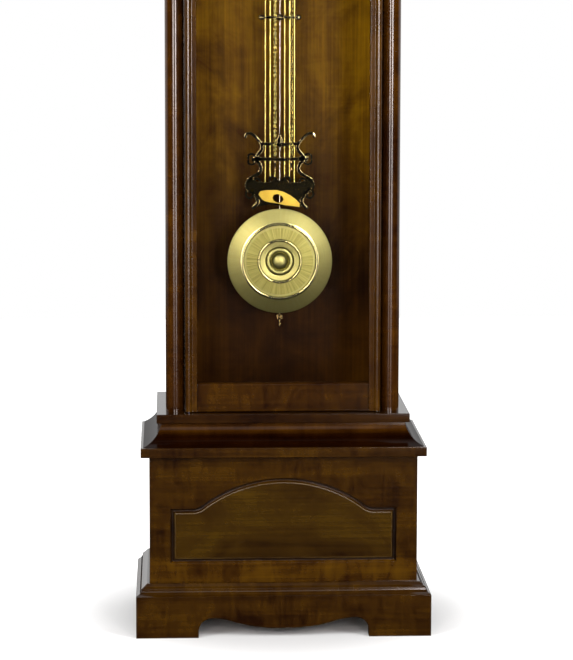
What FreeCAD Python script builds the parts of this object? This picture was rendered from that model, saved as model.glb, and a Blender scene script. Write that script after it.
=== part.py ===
import FreeCAD, Part
import Sketcher
import math
import os

# Floor clock with a glazed trunk, a lyre pendulum and two chain-driven trains.
# Lengths are millimetres. X runs to the right of the clock, -Y to its front and +Z up.
# The origin lies on the floor, in the middle of the case.

Vector = FreeCAD.Vector
doc = FreeCAD.newDocument("floor_clock")


class Size:
    """A number together with the sheet formula that gives it."""

    def __init__(self, value, formula):
        self.value = float(value)
        self.formula = formula

    def __float__(self):
        return self.value

    def __add__(self, other):
        other = as_size(other)
        return Size(self.value + other.value, f"({self.formula} + {other.formula})")

    def __sub__(self, other):
        other = as_size(other)
        return Size(self.value - other.value, f"({self.formula} - {other.formula})")

    def __mul__(self, other):
        other = as_size(other)
        return Size(self.value * other.value, f"({self.formula} * {other.formula})")

    def __truediv__(self, other):
        other = as_size(other)
        return Size(self.value / other.value, f"({self.formula} / {other.formula})")

    def __neg__(self):
        return Size(-self.value, f"(0 - {self.formula})")

    __radd__ = __add__
    __rmul__ = __mul__


def as_size(number):
    if isinstance(number, Size):
        return number
    return Size(number, repr(float(number)))


# Driving sizes. The names of a group start with the piece that they belong to.
DRIVING = {
    # whole case
    "case_width": 520,
    "case_depth": 300,
    "case_height": 2100,
    "overrun": 1,
    "back_thickness": 12,
    # plinth skirts
    "skirt_projection": 24,
    "skirt_face_height": 76,
    "skirt_top_height": 94,
    "skirt_ledge": 5,
    "skirt_shoulder_offset": 15,
    "skirt_shoulder_height": 86,
    "skirt_quirk": 2,
    "skirt_foot_width": 110,
    "skirt_side_foot_width": 72,
    "skirt_scallop_radius": 23,
    "skirt_scallop_top": 35,
    "skirt_centre_height": 17,
    "skirt_centre_flat": 12,
    # base box
    "base_bottom": 45,
    "base_top": 320,
    "base_thickness": 18,
    "panel_groove_margin": 40.5,
    "panel_groove_bottom": 133,
    "panel_groove_shoulder": 222.5,
    "panel_arch_inset": 34.5,
    "panel_arch_rise": 54,
    "panel_reverse_radius": 32,
    "panel_groove_width": 8,
    "panel_groove_depth": 3.2,
    # waist and neck mouldings
    "ledge_board_projection": 15,
    "ledge_board_thickness": 17,
    "cove_height": 39,
    "cove_foot_inset": 4,
    "cove_head_inset": 8,
    "cove_radius": 47,
    "sill_inset": 13,
    "sill_thickness": 16,
    # trunk
    "trunk_inset": 53.5,
    "trunk_face_setback": 43.5,
    "trunk_top_drop": 755,
    "trunk_board_thickness": 16,
    "column_width": 33,
    "frame_thickness": 16,
    "frame_stile_width": 45,
    "frame_bottom_rail": 40,
    "frame_top_rail": 36,
    # trunk door
    "door_gap": 1.5,
    "door_body_depth": 21,
    "door_body_setback": 4,
    "door_stile_width": 20.5,
    "door_bead_radius": 6,
    "door_bottom_rail_height": 50.5,
    "door_top_rail_height": 62,
    "door_rail_setback": 3,
    "door_rail_bevel": 2.5,
    "glass_thickness": 3,
    "glass_setback": 14,
    "glass_rebate": 6,
    "glass_clearance": 0.5,
    "pivot_radius": 2.5,
    "pivot_length": 12,
    "pivot_washer_radius": 4.5,
    "pivot_end_room": 1,
    "running_clearance": 0.05,
    "seat_clearance": 0.3,
    "knob_radius": 8,
    "knob_length": 18,
    "knob_neck_radius": 3.5,
    "knob_base_radius": 3.9,
    "knob_base_length": 3,
    "trunk_knob_drop": 163,
    # hood
    "hood_board_thickness": 16,
    "hood_door_thickness": 18,
    "hood_side_gap": 0.5,
    "hood_frieze_height": 87.5,
    "hood_stile_width": 81,
    "hood_opening_rise": 105,
    "hood_top_rail": 48.5,
    "hood_arch_inset": 45,
    "hood_glass_setback": 9,
    "hood_glass_depth": 3,
    "hood_knob_rise": 40,
    "hood_knob_inset": 26,
    "cornice_arch_rise": 84,
    "cornice_height": 34,
    "cornice_lip": 8,
    "cornice_foot": 8,
    "cornice_step": 8,
    "cornice_arch_inset": 40,
    "cornice_reverse_radius": 44,
    # seat board and dial
    "seat_thickness": 18,
    "seat_top_drop": 74,
    "seat_front": -42,
    "seat_back": 36,
    "seat_slot_width": 14,
    "seat_slot_end_room": 7,
    "dial_overlap": 8,
    "dial_foot_overlap": 13,
    "dial_thickness": 1.5,
    "dial_setback": 18,
    "dial_hole_radius": 6,
    "dial_post_radius": 2.5,
    "dial_post_x": 58,
    "dial_post_drop": 46,
    "chapter_margin": 13,
    "chapter_width": 38,
    "chapter_thickness": 2,
    # movement frame
    "pendulum_plane": 58,
    "movement_front": -32,
    "plate_half_width": 76,
    "plate_height": 140,
    "plate_thickness": 3,
    "plate_gap": 57,
    "pillar_radius": 4,
    "pillar_inset_x": 8,
    "pillar_inset_z": 10,
    "arbor_radius": 1.8,
    "pivot_pin_radius": 1.0,
    "end_shake": 0.4,
    "suspension_rise": 50,
    "cock_half_width": 20,
    "cock_foot_width": 7,
    "cock_foot_drop": 16,
    "cock_thickness": 4,
    "cock_rise": 7,
    "cock_ear_gap": 12,
    "cock_ear_half": 6,
    "cock_ear_thickness": 3,
    "cock_ear_drop": 6,
    "suspension_pin_radius": 1.3,
    "suspension_eye_radius": 5,
    "suspension_eye_length": 5.2,
    # trains
    "great_module": 1.0,
    "intermediate_module": 0.7,
    "centre_module": 0.5,
    "third_module": 0.45,
    "motion_module": 0.6,
    "great_arbor_drop": 38,
    "time_sprocket_x": 35,
    "strike_sprocket_x": -28,
    "sprocket_pitch_radius": 17,
    "sprocket_width": 11,
    "sprocket_flange": 1.6,
    "sprocket_rim": 3.5,
    "sprocket_plane": 27,
    "escape_rise": 27,
    "escape_radius": 16.3,
    "escape_root_radius": 12.6,
    "escape_wheel_thickness": 2,
    "wheel_thickness": 3,
    "fine_wheel_thickness": 1.6,
    "wheel_rim": 3.6,
    "wheel_hub_radius": 6,
    "wheel_arm_width": 3.4,
    "third_wheel_plane": 3,
    "third_pinion_plane": 48.2,
    "third_pinion_length": 3.6,
    "escape_pinion_plane": 1.2,
    "escape_pinion_length": 5.6,
    "intermediate_wheel_plane": 11,
    "centre_pinion_plane": 9.5,
    "centre_pinion_length": 5,
    "time_great_plane": 37,
    "great_pinion_lead": 1.5,
    "great_pinion_length": 6,
    "strike_great_plane": 42.5,
    "centre_wheel_plane": 49,
    "escape_wheel_plane": 52.7,
    "pin_wheel_plane": 9,
    "pin_wheel_radius": 14,
    "pin_circle_radius": 11.5,
    "pin_wheel_reach": 28.5,
    "lifting_pin_radius": 1.2,
    "lifting_pin_length": 5,
    # anchor, crutch and hammer
    "pallet_clearance": 2.3,
    "anchor_arm_width": 4.2,
    "anchor_hub_radius": 5,
    "anchor_thickness": 2.6,
    "anchor_half_angle": 52,
    "crutch_gap": 7,
    "crutch_thickness": 3,
    "crutch_width": 5,
    "crutch_drop": 58,
    "crutch_prong_width": 2,
    "crutch_prong_reach": 20,
    "crutch_prong_height": 5,
    "crutch_prong_gap": 0.4,
    "hammer_arbor_x": -66,
    "hammer_arbor_rise": 14,
    "hammer_arbor_radius": 2,
    "hammer_arm_radius": 1.6,
    "hammer_arm_drop": 144,
    "hammer_head_radius": 5,
    "hammer_head_length": 26,
    "hammer_tail_width": 3,
    "hammer_tail_plane": 13,
    "hammer_tail_clearance": 1,
    # motion work and hands
    "centre_arbor_radius": 2,
    "centre_arbor_tip": 32,
    "cannon_wall": 0.8,
    "cannon_start": 2,
    "cannon_length": 28,
    "cannon_gear_length": 5,
    "minute_wheel_lead": 4,
    "minute_wheel_thickness": 2.6,
    "minute_pinion_length": 5.4,
    "minute_stud_radius": 1.5,
    "minute_wheel_angle": 225,
    "hour_wheel_lead": 9.2,
    "hour_wheel_thickness": 2.6,
    "hour_pipe_wall": 1.4,
    "hour_pipe_length": 16.5,
    "hand_thickness": 1.2,
    "hour_hand_drop": 20,
    "minute_hand_drop": 14,
    "hand_boss_radius": 7.5,
    "hand_width": 11,
    "hand_tail_length": 24,
    "hour_hand_angle": -55,
    "minute_hand_angle": 60,
    # pendulum
    "bob_centre_rise": 252,
    "bob_radius": 95,
    "bob_rim_thickness": 3.4,
    "bob_rim_setback": 3.5,
    "bob_shoulder_radius": 70,
    "bob_shoulder_height": 7,
    "bob_bead_radius": 64,
    "bob_bead_height": 9,
    "bob_groove_height": 5,
    "bob_flat_radius": 61,
    "bob_flat_height": 6.5,
    "bob_ring_outer_radius": 40,
    "bob_ring_inner_radius": 35,
    "bob_ring_height": 10,
    "bob_dish_radius": 16,
    "bob_dish_height": 6,
    "bob_dome_height": 13,
    "bob_block_half_width": 9,
    "bob_block_top": 20,
    "rod_radius": 1.5,
    "rod_spacing": 8.75,
    "rod_foot": 137,
    "rod_head_drop": 170,
    "rod_collar_gap": 265,
    "rod_collar_drop": 132,
    "rod_collar_half": 33,
    "rod_collar_height": 5,
    "rod_collar_depth": 5,
    "rod_collar_disc": 6.5,
    "rod_collar_scroll": 2.6,
    "rod_head_height": 16,
    "hanger_half_width": 3.5,
    "hanger_thickness": 3,
    "hanger_block_height": 12,
    "hanger_block_half": 5,
    "spring_length": 15,
    "spring_half_width": 3,
    "spring_thickness": 0.6,
    "fret_half_width": 64,
    "fret_height": 142,
    "fret_foot": 92,
    "fret_thickness": 1.6,
    "fret_gap": 0.1,
    "stud_radius": 2.5,
    "stud_top": 84,
    "stud_bottom": -120,
    "nut_radius": 6,
    "nut_height": 8,
    "nut_waist_radius": 4.4,
    "nut_cap_height": 2.4,
    # weights and chains
    "weight_radius": 26,
    "weight_length": 200,
    "weight_bottom_drop": 346,
    "weight_cap_lip": 1.5,
    "weight_cap_height": 8,
    "weight_finial_radius": 6,
    "weight_finial_drop": 14,
    "weight_stem_radius": 2,
    "weight_stem_height": 8,
    "weight_ring_radius": 6,
    "weight_ring_wire": 1.5,
    "chain_width": 6.4,
    "chain_thickness": 2.4,
    "free_end_drop": 695,
    "free_hook_length": 20,
    "free_hook_tip": 1.6,
    # gong
    "gong_block_x": -44,
    "gong_block_half": 18,
    "gong_block_drop": 36,
    "gong_block_height": 40,
    "gong_block_depth": 20,
    "gong_rod_radius": 1.8,
    "gong_rod_gap": 12,
    "gong_rod_length": 330,
    "gong_rod_setback": 12,
    # wall fixings
    "wall_hole_radius": 3,
    "wall_hole_inset": 76,
    "wall_hole_drop": 166,
}

# Counts of teeth, leaves and copies.
GREAT_TEETH = 60
GREAT_PINION_LEAVES = 12
INTERMEDIATE_TEETH = 60
CENTRE_LEAVES = 15
CENTRE_TEETH = 80
THIRD_LEAVES = 10
THIRD_TEETH = 75
ESCAPE_LEAVES = 10
ESCAPE_TEETH = 30
CANNON_LEAVES = 12
MINUTE_TEETH = 36
MINUTE_LEAVES = 10
HOUR_TEETH = 40
LIFTING_PINS = 8
RODS = 7


def make_sheet():
    """Put every driving size in the sheet and return the sizes by name."""
    sheet = doc.addObject("Spreadsheet::Sheet", "sizes")
    named = {}
    for row, (name, value) in enumerate(DRIVING.items(), start=1):
        sheet.set(f"A{row}", name)
        sheet.set(f"B{row}", str(float(value)))
        sheet.setAlias(f"B{row}", name)
    doc.recompute()
    for name in DRIVING:
        named[name] = Size(getattr(sheet, name), f"sizes.{name}")
    return named


class Sizes:
    """The sheet's sizes as attributes."""

    def __init__(self, named):
        self.__dict__.update(named)


s = Sizes(make_sheet())
ZERO = as_size(0)


def follow_the_case():
    """Sizes that follow the case: each is a driving size away from the piece that carries it."""
    outer = s.case_width / 2
    body = outer - s.skirt_projection
    s.skirt_opening_half = outer - s.skirt_foot_width
    s.skirt_side_opening_half = s.case_depth / 2 - s.skirt_side_foot_width
    s.panel_groove_half_width = body - s.panel_groove_margin
    s.panel_arch_half = s.panel_groove_half_width - s.panel_arch_inset
    s.trunk_width = s.case_width - s.trunk_inset * 2
    s.trunk_top = s.case_height - s.trunk_top_drop
    s.trunk_knob_height = s.trunk_top - s.trunk_knob_drop
    s.shoulder_height = s.case_height - s.cornice_arch_rise
    s.cornice_arch_half = body - s.cornice_arch_inset
    s.hood_door_top = s.shoulder_height - s.hood_frieze_height
    s.hood_opening_half = body - s.hood_stile_width
    s.hood_opening_bottom = s.trunk_top + s.hood_opening_rise
    s.hood_arch_radius = s.hood_opening_half - s.hood_arch_inset
    s.hood_opening_shoulder = s.hood_door_top - s.hood_top_rail - s.hood_arch_radius
    s.wall_hole_spacing = (body - s.wall_hole_inset) * 2
    s.wall_hole_height = s.shoulder_height - s.wall_hole_drop


def follow_the_hood():
    """Sizes that follow the hood's light and the dial behind it."""
    s.dial_half_width = s.hood_opening_half + s.dial_overlap
    s.dial_bottom = s.hood_opening_bottom - s.dial_foot_overlap
    s.dial_centre_height = s.dial_bottom + s.dial_half_width
    s.hood_knob_height = s.dial_centre_height + s.hood_knob_rise
    s.dial_shoulder = s.hood_opening_shoulder + s.dial_overlap
    s.dial_arch_radius = s.hood_arch_radius + s.dial_overlap
    s.chapter_outer_radius = s.dial_half_width - s.chapter_margin
    s.chapter_inner_radius = s.chapter_outer_radius - s.chapter_width
    s.hour_hand_length = s.chapter_inner_radius - s.hour_hand_drop
    s.minute_hand_length = s.chapter_outer_radius - s.minute_hand_drop


def follow_the_movement():
    """Sizes that hang from the movement or stand on its seat."""
    s.seat_top = s.dial_centre_height - s.seat_top_drop
    s.gong_block_bottom = s.seat_top - s.gong_block_drop
    s.gong_rod_bottom = s.gong_block_bottom - s.gong_rod_length
    s.weight_bottom = s.seat_top - s.weight_bottom_drop
    s.free_end_height = s.seat_top - s.free_end_drop
    sill = s.base_top + s.ledge_board_thickness + s.cove_height + s.sill_thickness
    bob_centre = sill + s.bob_centre_rise
    s.pendulum_length = s.dial_centre_height + s.suspension_rise - bob_centre
    s.rod_head = s.pendulum_length - s.rod_head_drop
    s.rod_collar_high = s.rod_head - s.rod_collar_drop
    s.rod_collar_low = s.rod_collar_high - s.rod_collar_gap


follow_the_case()
follow_the_hood()
follow_the_movement()
NODES = []


def node(item, label):
    """Name a finished sub-part and note it for the export."""
    item.Label = label
    NODES.append(item)
    return item


def bind(item, name, size):
    item.setExpression(name, as_size(size).formula)


def move(item, x, y, z):
    """Bind the place of an object to the sheet."""
    for axis, size in zip("xyz", (x, y, z)):
        bind(item, f"Placement.Base.{axis}", size)


def box(name, low, high):
    """A board from its low corner to its high corner."""
    item = doc.addObject("Part::Box", name)
    bind(item, "Length", as_size(high[0]) - low[0])
    bind(item, "Width", as_size(high[1]) - low[1])
    bind(item, "Height", as_size(high[2]) - low[2])
    move(item, *low)
    return item


def cylinder(name, radius, height, foot, axis="z"):
    """A round rod that starts at its foot and runs along the given axis."""
    item = doc.addObject("Part::Cylinder", name)
    bind(item, "Radius", radius)
    bind(item, "Height", height)
    turns = {"x": (Vector(0, 1, 0), 90), "y": (Vector(1, 0, 0), -90), "z": (Vector(0, 0, 1), 0)}
    item.Placement.Rotation = FreeCAD.Rotation(*turns[axis])
    move(item, *foot)
    return item


def cut(name, base, tool):
    item = doc.addObject("Part::Cut", name)
    item.Base = base
    item.Tool = tool
    return item


def fuse(name, pieces):
    if len(pieces) == 1:
        return pieces[0]
    item = doc.addObject("Part::MultiFuse", name)
    item.Shapes = pieces
    return item


def group(name, pieces):
    """Separate solids that share one node."""
    item = doc.addObject("Part::Compound", name)
    item.Links = pieces
    return item


def feature(name, shape):
    item = doc.addObject("Part::Feature", name)
    item.Shape = shape
    return item


def start_body(name):
    body = doc.addObject("PartDesign::Body", name)
    return body


def sketch_on(body, role, name):
    """An empty sketch on one of the body's own origin planes."""
    plane = [part for part in body.Origin.OriginFeatures if part.Role == role][0]
    sketch = body.newObject("Sketcher::SketchObject", name)
    sketch.AttachmentSupport = (plane, [""])
    sketch.MapMode = "FlatFace"
    return sketch


def arc_middle(start, end, radius, turn):
    """The middle point of an arc; turn is 1 to the left and -1 to the right."""
    chord = end - start
    half = chord.Length / 2
    left = Vector(-chord.y, chord.x, 0).normalize()
    rise = radius - math.sqrt(max(radius * radius - half * half, 0))
    return (start + end) / 2 - left * (rise * turn)


def draw_outline(sketch, corners):
    """Draw a closed outline whose corners and arc radii are bound to the sheet.

    A corner is (x, y), reached by a straight line, or (x, y, radius, turn), reached by an arc.
    """
    points = [Vector(float(c[0]), float(c[1]), 0) for c in corners]
    count = len(corners)
    for index in range(count):
        end = (index + 1) % count
        target = corners[end]
        if len(target) == 4:
            middle = arc_middle(points[index], points[end], float(target[2]), target[3])
            sketch.addGeometry(Part.Arc(points[index], middle, points[end]), False)
        else:
            sketch.addGeometry(Part.LineSegment(points[index], points[end]), False)
    for index in range(count):
        sketch.addConstraint(Sketcher.Constraint("Coincident", index, 2, (index + 1) % count, 1))
    for index, corner in enumerate(corners):
        for kind, size in (("DistanceX", corner[0]), ("DistanceY", corner[1])):
            size = as_size(size)
            rule = sketch.addConstraint(Sketcher.Constraint(kind, -1, 1, index, 1, size.value))
            if "sizes." in size.formula:
                bind(sketch, f"Constraints[{rule}]", size)
    for index in range(count):
        target = corners[(index + 1) % count]
        if len(target) == 4:
            rule = sketch.addConstraint(Sketcher.Constraint("Radius", index, float(target[2])))
            bind(sketch, f"Constraints[{rule}]", target[2])


def draw_circle(sketch, x, y, radius):
    """Draw a circle bound to the sheet."""
    index = sketch.addGeometry(Part.Circle(Vector(float(x), float(y), 0), Vector(0, 0, 1), float(radius)))
    for kind, size in (("DistanceX", as_size(x)), ("DistanceY", as_size(y))):
        rule = sketch.addConstraint(Sketcher.Constraint(kind, -1, 1, index, 3, size.value))
        if "sizes." in size.formula:
            bind(sketch, f"Constraints[{rule}]", size)
    rule = sketch.addConstraint(Sketcher.Constraint("Radius", index, float(radius)))
    bind(sketch, f"Constraints[{rule}]", radius)


def pad(body, sketch, length, reversed_way=False):
    item = body.newObject("PartDesign::Pad", sketch.Name + "_pad")
    item.Profile = sketch
    bind(item, "Length", length)
    item.Reversed = reversed_way
    doc.recompute()
    return item


def pocket_through(body, sketch):
    """Cut a sketch through the whole body, both ways, and make sure that it cut."""
    before = body.Shape.Volume
    item = body.newObject("PartDesign::Pocket", sketch.Name + "_pocket")
    item.Profile = sketch
    item.Type = "ThroughAll"
    item.SideType = "Symmetric"
    doc.recompute()
    if not body.Shape.Volume < before:
        raise RuntimeError(f"{item.Name} cut nothing")
    return item


def revolve(body, sketch):
    """Turn a sketch once round its vertical axis."""
    item = body.newObject("PartDesign::Revolution", sketch.Name + "_turned")
    item.Profile = sketch
    item.ReferenceAxis = (sketch, ["V_Axis"])
    item.Angle = 360
    doc.recompute()
    return item


def rectangle(left, bottom, right, top):
    return [(left, bottom), (right, bottom), (right, top), (left, top)]


def slab(label, outline, front, thickness, holes=()):
    """A flat piece drawn from the front, with outlines cut through it."""
    body = start_body(label)
    face = sketch_on(body, "XZ_Plane", label + "_outline")
    draw_outline(face, outline)
    pad(body, face, thickness, reversed_way=True)
    for number, hole in enumerate(holes):
        opening = sketch_on(body, "XZ_Plane", f"{label}_opening{number}")
        draw_outline(opening, hole)
        pocket_through(body, opening)
    bind(body, "Placement.Base.y", front)
    return body


def turned(label, profile, place, tilt=None):
    """A turned piece from (radius, height) corners, set at its place."""
    body = start_body(label)
    sketch = sketch_on(body, "XZ_Plane", label + "_profile")
    draw_outline(sketch, profile)
    revolve(body, sketch)
    if tilt is not None:
        body.Placement.Rotation = tilt
    move(body, *place)
    return body


FORWARD = FreeCAD.Rotation(Vector(1, 0, 0), 90)


# Places that several pieces share
back = s.case_depth / 2
front = -back
panel_front = back - s.back_thickness
base_half = s.case_width / 2 - s.skirt_projection
base_front = front + s.skirt_projection
ledge_half = base_half + s.ledge_board_projection
ledge_front = base_front - s.ledge_board_projection
sill_half = base_half - s.sill_inset
sill_front = base_front + s.sill_inset
waist_bottom = s.base_top
cove_bottom = waist_bottom + s.ledge_board_thickness
sill_bottom = cove_bottom + s.cove_height
sill_top = sill_bottom + s.sill_thickness
trunk_half = s.trunk_width / 2
trunk_face = sill_front + s.trunk_face_setback
neck_cove_bottom = s.trunk_top + s.sill_thickness
hood_floor_bottom = neck_cove_bottom + s.cove_height
hood_floor_top = hood_floor_bottom + s.ledge_board_thickness
seat_bottom = s.seat_top - s.seat_thickness
hood_top_board_bottom = s.shoulder_height - s.hood_board_thickness


def prism(points, run):
    """A solid from flat corner points, pushed along a vector."""
    return Part.Face(Part.makePolygon(points + [points[0]])).extrude(run)


def mitred_strips(section, half_width, front_y, back_y, reach):
    """Front, left and right moulding strips with one section, mitred at the front corners.

    The section is a function from an outward offset and a height to a face in the plane of
    a strip's end: it gets the point maker of that plane.
    """
    low = -float(s.overrun)
    tall = float(s.case_height) + 2 * float(s.overrun)
    half, face, rear, out = float(half_width), float(front_y), float(back_y), float(reach)
    run = half + out + float(s.overrun)
    front_section = section(lambda offset, z: Vector(-run, face - offset, z))
    front_strip = front_section.extrude(Vector(2 * run, 0, 0))
    plan = [Vector(-half, face, low), Vector(half, face, low),
            Vector(half + out, face - out, low), Vector(-half - out, face - out, low)]
    strips = {"front": front_strip.common(prism(plan, Vector(0, 0, tall)))}
    for side, name in ((-1, "left"), (1, "right")):
        side_section = section(lambda offset, z: Vector(side * (half + offset), rear, z))
        strip = side_section.extrude(Vector(0, face - out - rear, 0))
        plan = [Vector(side * half, face, low), Vector(side * half, rear, low),
                Vector(side * (half + out), rear, low), Vector(side * (half + out), face - out, low)]
        strips[name] = strip.common(prism(plan, Vector(0, 0, tall)))
    return strips


def section_face(point, steps):
    """A face in a strip's end plane from (offset, height) corners and three-point arcs."""
    edges = []
    here = point(*steps[0])
    first = here
    for step in steps[1:]:
        if len(step) == 4:
            middle = point(step[0], step[1])
            there = point(step[2], step[3])
            edges.append(Part.Arc(here, middle, there).toShape())
        else:
            there = point(*step)
            edges.append(Part.LineSegment(here, there).toShape())
        here = there
    edges.append(Part.LineSegment(here, first).toShape())
    return Part.Face(Part.Wire(edges))


# Plinth: three skirts with an ogee top edge and a scalloped lower edge, mitred at the corners

def skirt_section(point):
    out = float(s.skirt_projection)
    face_top = float(s.skirt_face_height)
    top = float(s.skirt_top_height)
    ledge = float(s.skirt_ledge)
    shoulder = float(s.skirt_shoulder_offset)
    shoulder_z = float(s.skirt_shoulder_height)
    quirk = float(s.skirt_quirk)
    drop = top - shoulder_z
    round_share = 0.72
    hollow_share = 0.3
    steps = [(0, 0), (out, 0), (out, face_top - quirk), (out - quirk, face_top),
             (shoulder + (out - quirk - shoulder) * hollow_share,
              face_top + (shoulder_z - face_top) * hollow_share, shoulder, shoulder_z),
             (ledge + (shoulder - ledge) * round_share, shoulder_z + drop * round_share,
              ledge, top), (0, top)]
    return section_face(point, steps)


def scallop_outline(opening_half):
    """Half of the scalloped lower edge, from the foot to the middle, as (along, height)."""
    radius = float(s.skirt_scallop_radius)
    top = float(s.skirt_scallop_top)
    centre = float(s.skirt_centre_height)
    flat = float(s.skirt_centre_flat)
    arch_share = 0.32
    run = float(opening_half) - radius - flat
    drop = top - centre
    turn = 2 * math.atan(drop / run)
    total = run / math.sin(turn)
    arch = total * arch_share
    crown = float(opening_half) - radius
    bend = crown - arch * math.sin(turn)
    bend_z = top - arch * (1 - math.cos(turn))
    sag = total - arch
    half_turn = turn / 2
    arch_middle = (crown - arch * math.sin(half_turn), top - arch * (1 - math.cos(half_turn)))
    sag_middle = (flat + sag * math.sin(half_turn), centre + sag * (1 - math.cos(half_turn)))
    quarter = radius * (1 - math.sqrt(0.5))
    return {"foot": (float(opening_half), top - radius),
            "quarter": (float(opening_half) - quarter, top - quarter),
            "crown": (crown, top), "arch": arch_middle, "bend": (bend, bend_z),
            "sag": sag_middle, "flat": (flat, centre)}


def scallop_tool(opening_half, point, run):
    """The waste below a skirt's scalloped edge; point maps (along, height) to space."""
    low = -float(s.overrun)
    p = scallop_outline(opening_half)
    edges = [Part.LineSegment(point(-p["foot"][0], low), point(p["foot"][0], low)).toShape()]
    for side in (1, -1):
        at = {name: point(side * place[0], place[1]) for name, place in p.items()}
        edges.append(Part.LineSegment(point(side * p["foot"][0], low), at["foot"]).toShape())
        edges.append(Part.Arc(at["foot"], at["quarter"], at["crown"]).toShape())
        edges.append(Part.Arc(at["crown"], at["arch"], at["bend"]).toShape())
        edges.append(Part.Arc(at["bend"], at["sag"], at["flat"]).toShape())
    edges.append(Part.LineSegment(point(p["flat"][0], p["flat"][1]),
                                  point(-p["flat"][0], p["flat"][1])).toShape())
    wire = Part.Wire(Part.sortEdges(edges)[0])
    return Part.Face(wire).extrude(run)


def make_plinth():
    strips = mitred_strips(skirt_section, base_half, base_front, back, s.skirt_projection)
    deep = float(s.case_depth) + 2 * float(s.overrun)
    wide = float(s.case_width) + 2 * float(s.overrun)
    front_waste = scallop_tool(s.skirt_opening_half,
                               lambda along, z: Vector(along, -deep / 2, z), Vector(0, deep, 0))
    side_waste = scallop_tool(s.skirt_side_opening_half,
                              lambda along, z: Vector(-wide / 2, along, z), Vector(wide, 0, 0))
    node(feature("plinth_front", strips["front"].cut(front_waste)), "plinth_front")
    sides = [strips[name].cut(side_waste) for name in ("left", "right")]
    node(feature("plinth_sides", Part.makeCompound(sides)), "plinth_sides")


make_plinth()


# Base box: front panel with a routed arched groove, two sides and a projecting top board

def arched_path(half, bottom, shoulder, arch_half, rise, reverse_radius, y, closed):
    """Edges of the line that runs level, bends up and arches over the middle."""
    half, shoulder, arch_half = float(half), float(shoulder), float(arch_half)
    rise, reverse, y = float(rise), float(reverse_radius), float(y)
    turn = 2 * math.atan(rise / arch_half)
    crown_radius = arch_half / math.sin(turn) - reverse
    bend_x = arch_half - reverse * math.sin(turn)
    bend_z = shoulder + reverse * (1 - math.cos(turn))
    middle_x = arch_half - reverse * math.sin(turn / 2)
    middle_z = shoulder + reverse * (1 - math.cos(turn / 2))
    top = Vector(0, y, shoulder + rise)
    edges = []
    if closed:
        low = float(bottom)
        edges.append(Part.LineSegment(Vector(0, y, low), Vector(half, y, low)).toShape())
        edges.append(Part.LineSegment(Vector(half, y, low), Vector(half, y, shoulder)).toShape())
    edges.append(Part.LineSegment(Vector(half, y, shoulder), Vector(arch_half, y, shoulder)).toShape())
    edges.append(Part.Arc(Vector(arch_half, y, shoulder), Vector(middle_x, y, middle_z),
                          Vector(bend_x, y, bend_z)).toShape())
    crown_z = top.z - crown_radius
    edges.append(Part.Arc(Vector(bend_x, y, bend_z), top, Vector(-bend_x, y, bend_z)).toShape())
    edges.append(Part.Arc(Vector(-bend_x, y, bend_z), Vector(-middle_x, y, middle_z),
                          Vector(-arch_half, y, shoulder)).toShape())
    edges.append(Part.LineSegment(Vector(-arch_half, y, shoulder), Vector(-half, y, shoulder)).toShape())
    if closed:
        edges.append(Part.LineSegment(Vector(-half, y, shoulder), Vector(-half, y, low)).toShape())
        edges.append(Part.LineSegment(Vector(-half, y, low), Vector(0, y, low)).toShape())
    return edges


def panel_groove():
    """The waste of a V groove that follows the arched line, mitred at its corners."""
    y = float(base_front)
    edges = arched_path(s.panel_groove_half_width, s.panel_groove_bottom, s.panel_groove_shoulder,
                        s.panel_arch_half, s.panel_arch_rise, s.panel_reverse_radius, y, True)
    spine = Part.Wire(edges)
    depth, half, lead = float(s.panel_groove_depth), float(s.panel_groove_width) / 2, float(s.overrun)
    low = float(s.panel_groove_bottom)
    wide = half * (depth + lead) / depth
    corners = [Vector(0, y + depth, low), Vector(0, y - lead, low + wide), Vector(0, y - lead, low - wide)]
    section = Part.makePolygon(corners + [corners[0]])
    return spine.makePipeShell([section], True, False, 1)


def make_base():
    inner_front = base_front + s.base_thickness
    blank = box("base_panel_blank", (-base_half, base_front, s.base_bottom),
                (base_half, inner_front, s.base_top))
    groove = feature("base_panel_groove", panel_groove())
    node(cut("base_front_panel", blank, groove), "base_front_panel")
    left = box("base_side_a", (-base_half, inner_front, s.base_bottom),
               (-base_half + s.base_thickness, panel_front, s.base_top))
    right = box("base_side_b", (base_half - s.base_thickness, inner_front, s.base_bottom),
                (base_half, panel_front, s.base_top))
    node(group("base_sides", [left, right]), "base_sides")
    node(box("base_top_board", (-ledge_half, ledge_front, s.base_top),
             (ledge_half, panel_front, cove_bottom)), "base_top_board")


make_base()


# Waist and neck: hollow mouldings between the wide boxes and the narrow trunk

def cove_steps(head_z, foot_z, band):
    """Corners of a cove: its narrow head at the trunk, its wide foot at the ledge board.

    Offsets are counted from the trunk's own faces. A band is a flat strip at the head.
    """
    head = float(sill_half - trunk_half) - (0 if band else float(s.cove_head_inset))
    foot = float(ledge_half - trunk_half) - float(s.cove_foot_inset)
    start = float(sill_half - trunk_half) - float(s.cove_head_inset)
    way = 1 if foot_z > head_z else -1
    curve_z = head_z + way * float(band)
    radius = float(s.cove_radius)
    chord = Vector(foot - start, foot_z - curve_z, 0)
    middle = arc_middle(Vector(start, curve_z, 0), Vector(foot, foot_z, 0), radius, way)
    steps = [(0, head_z), (head, head_z)]
    if band:
        steps += [(head, curve_z), (start, curve_z)]
    steps += [(middle.x, middle.y, foot, foot_z), (0, foot_z)]
    return steps


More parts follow.
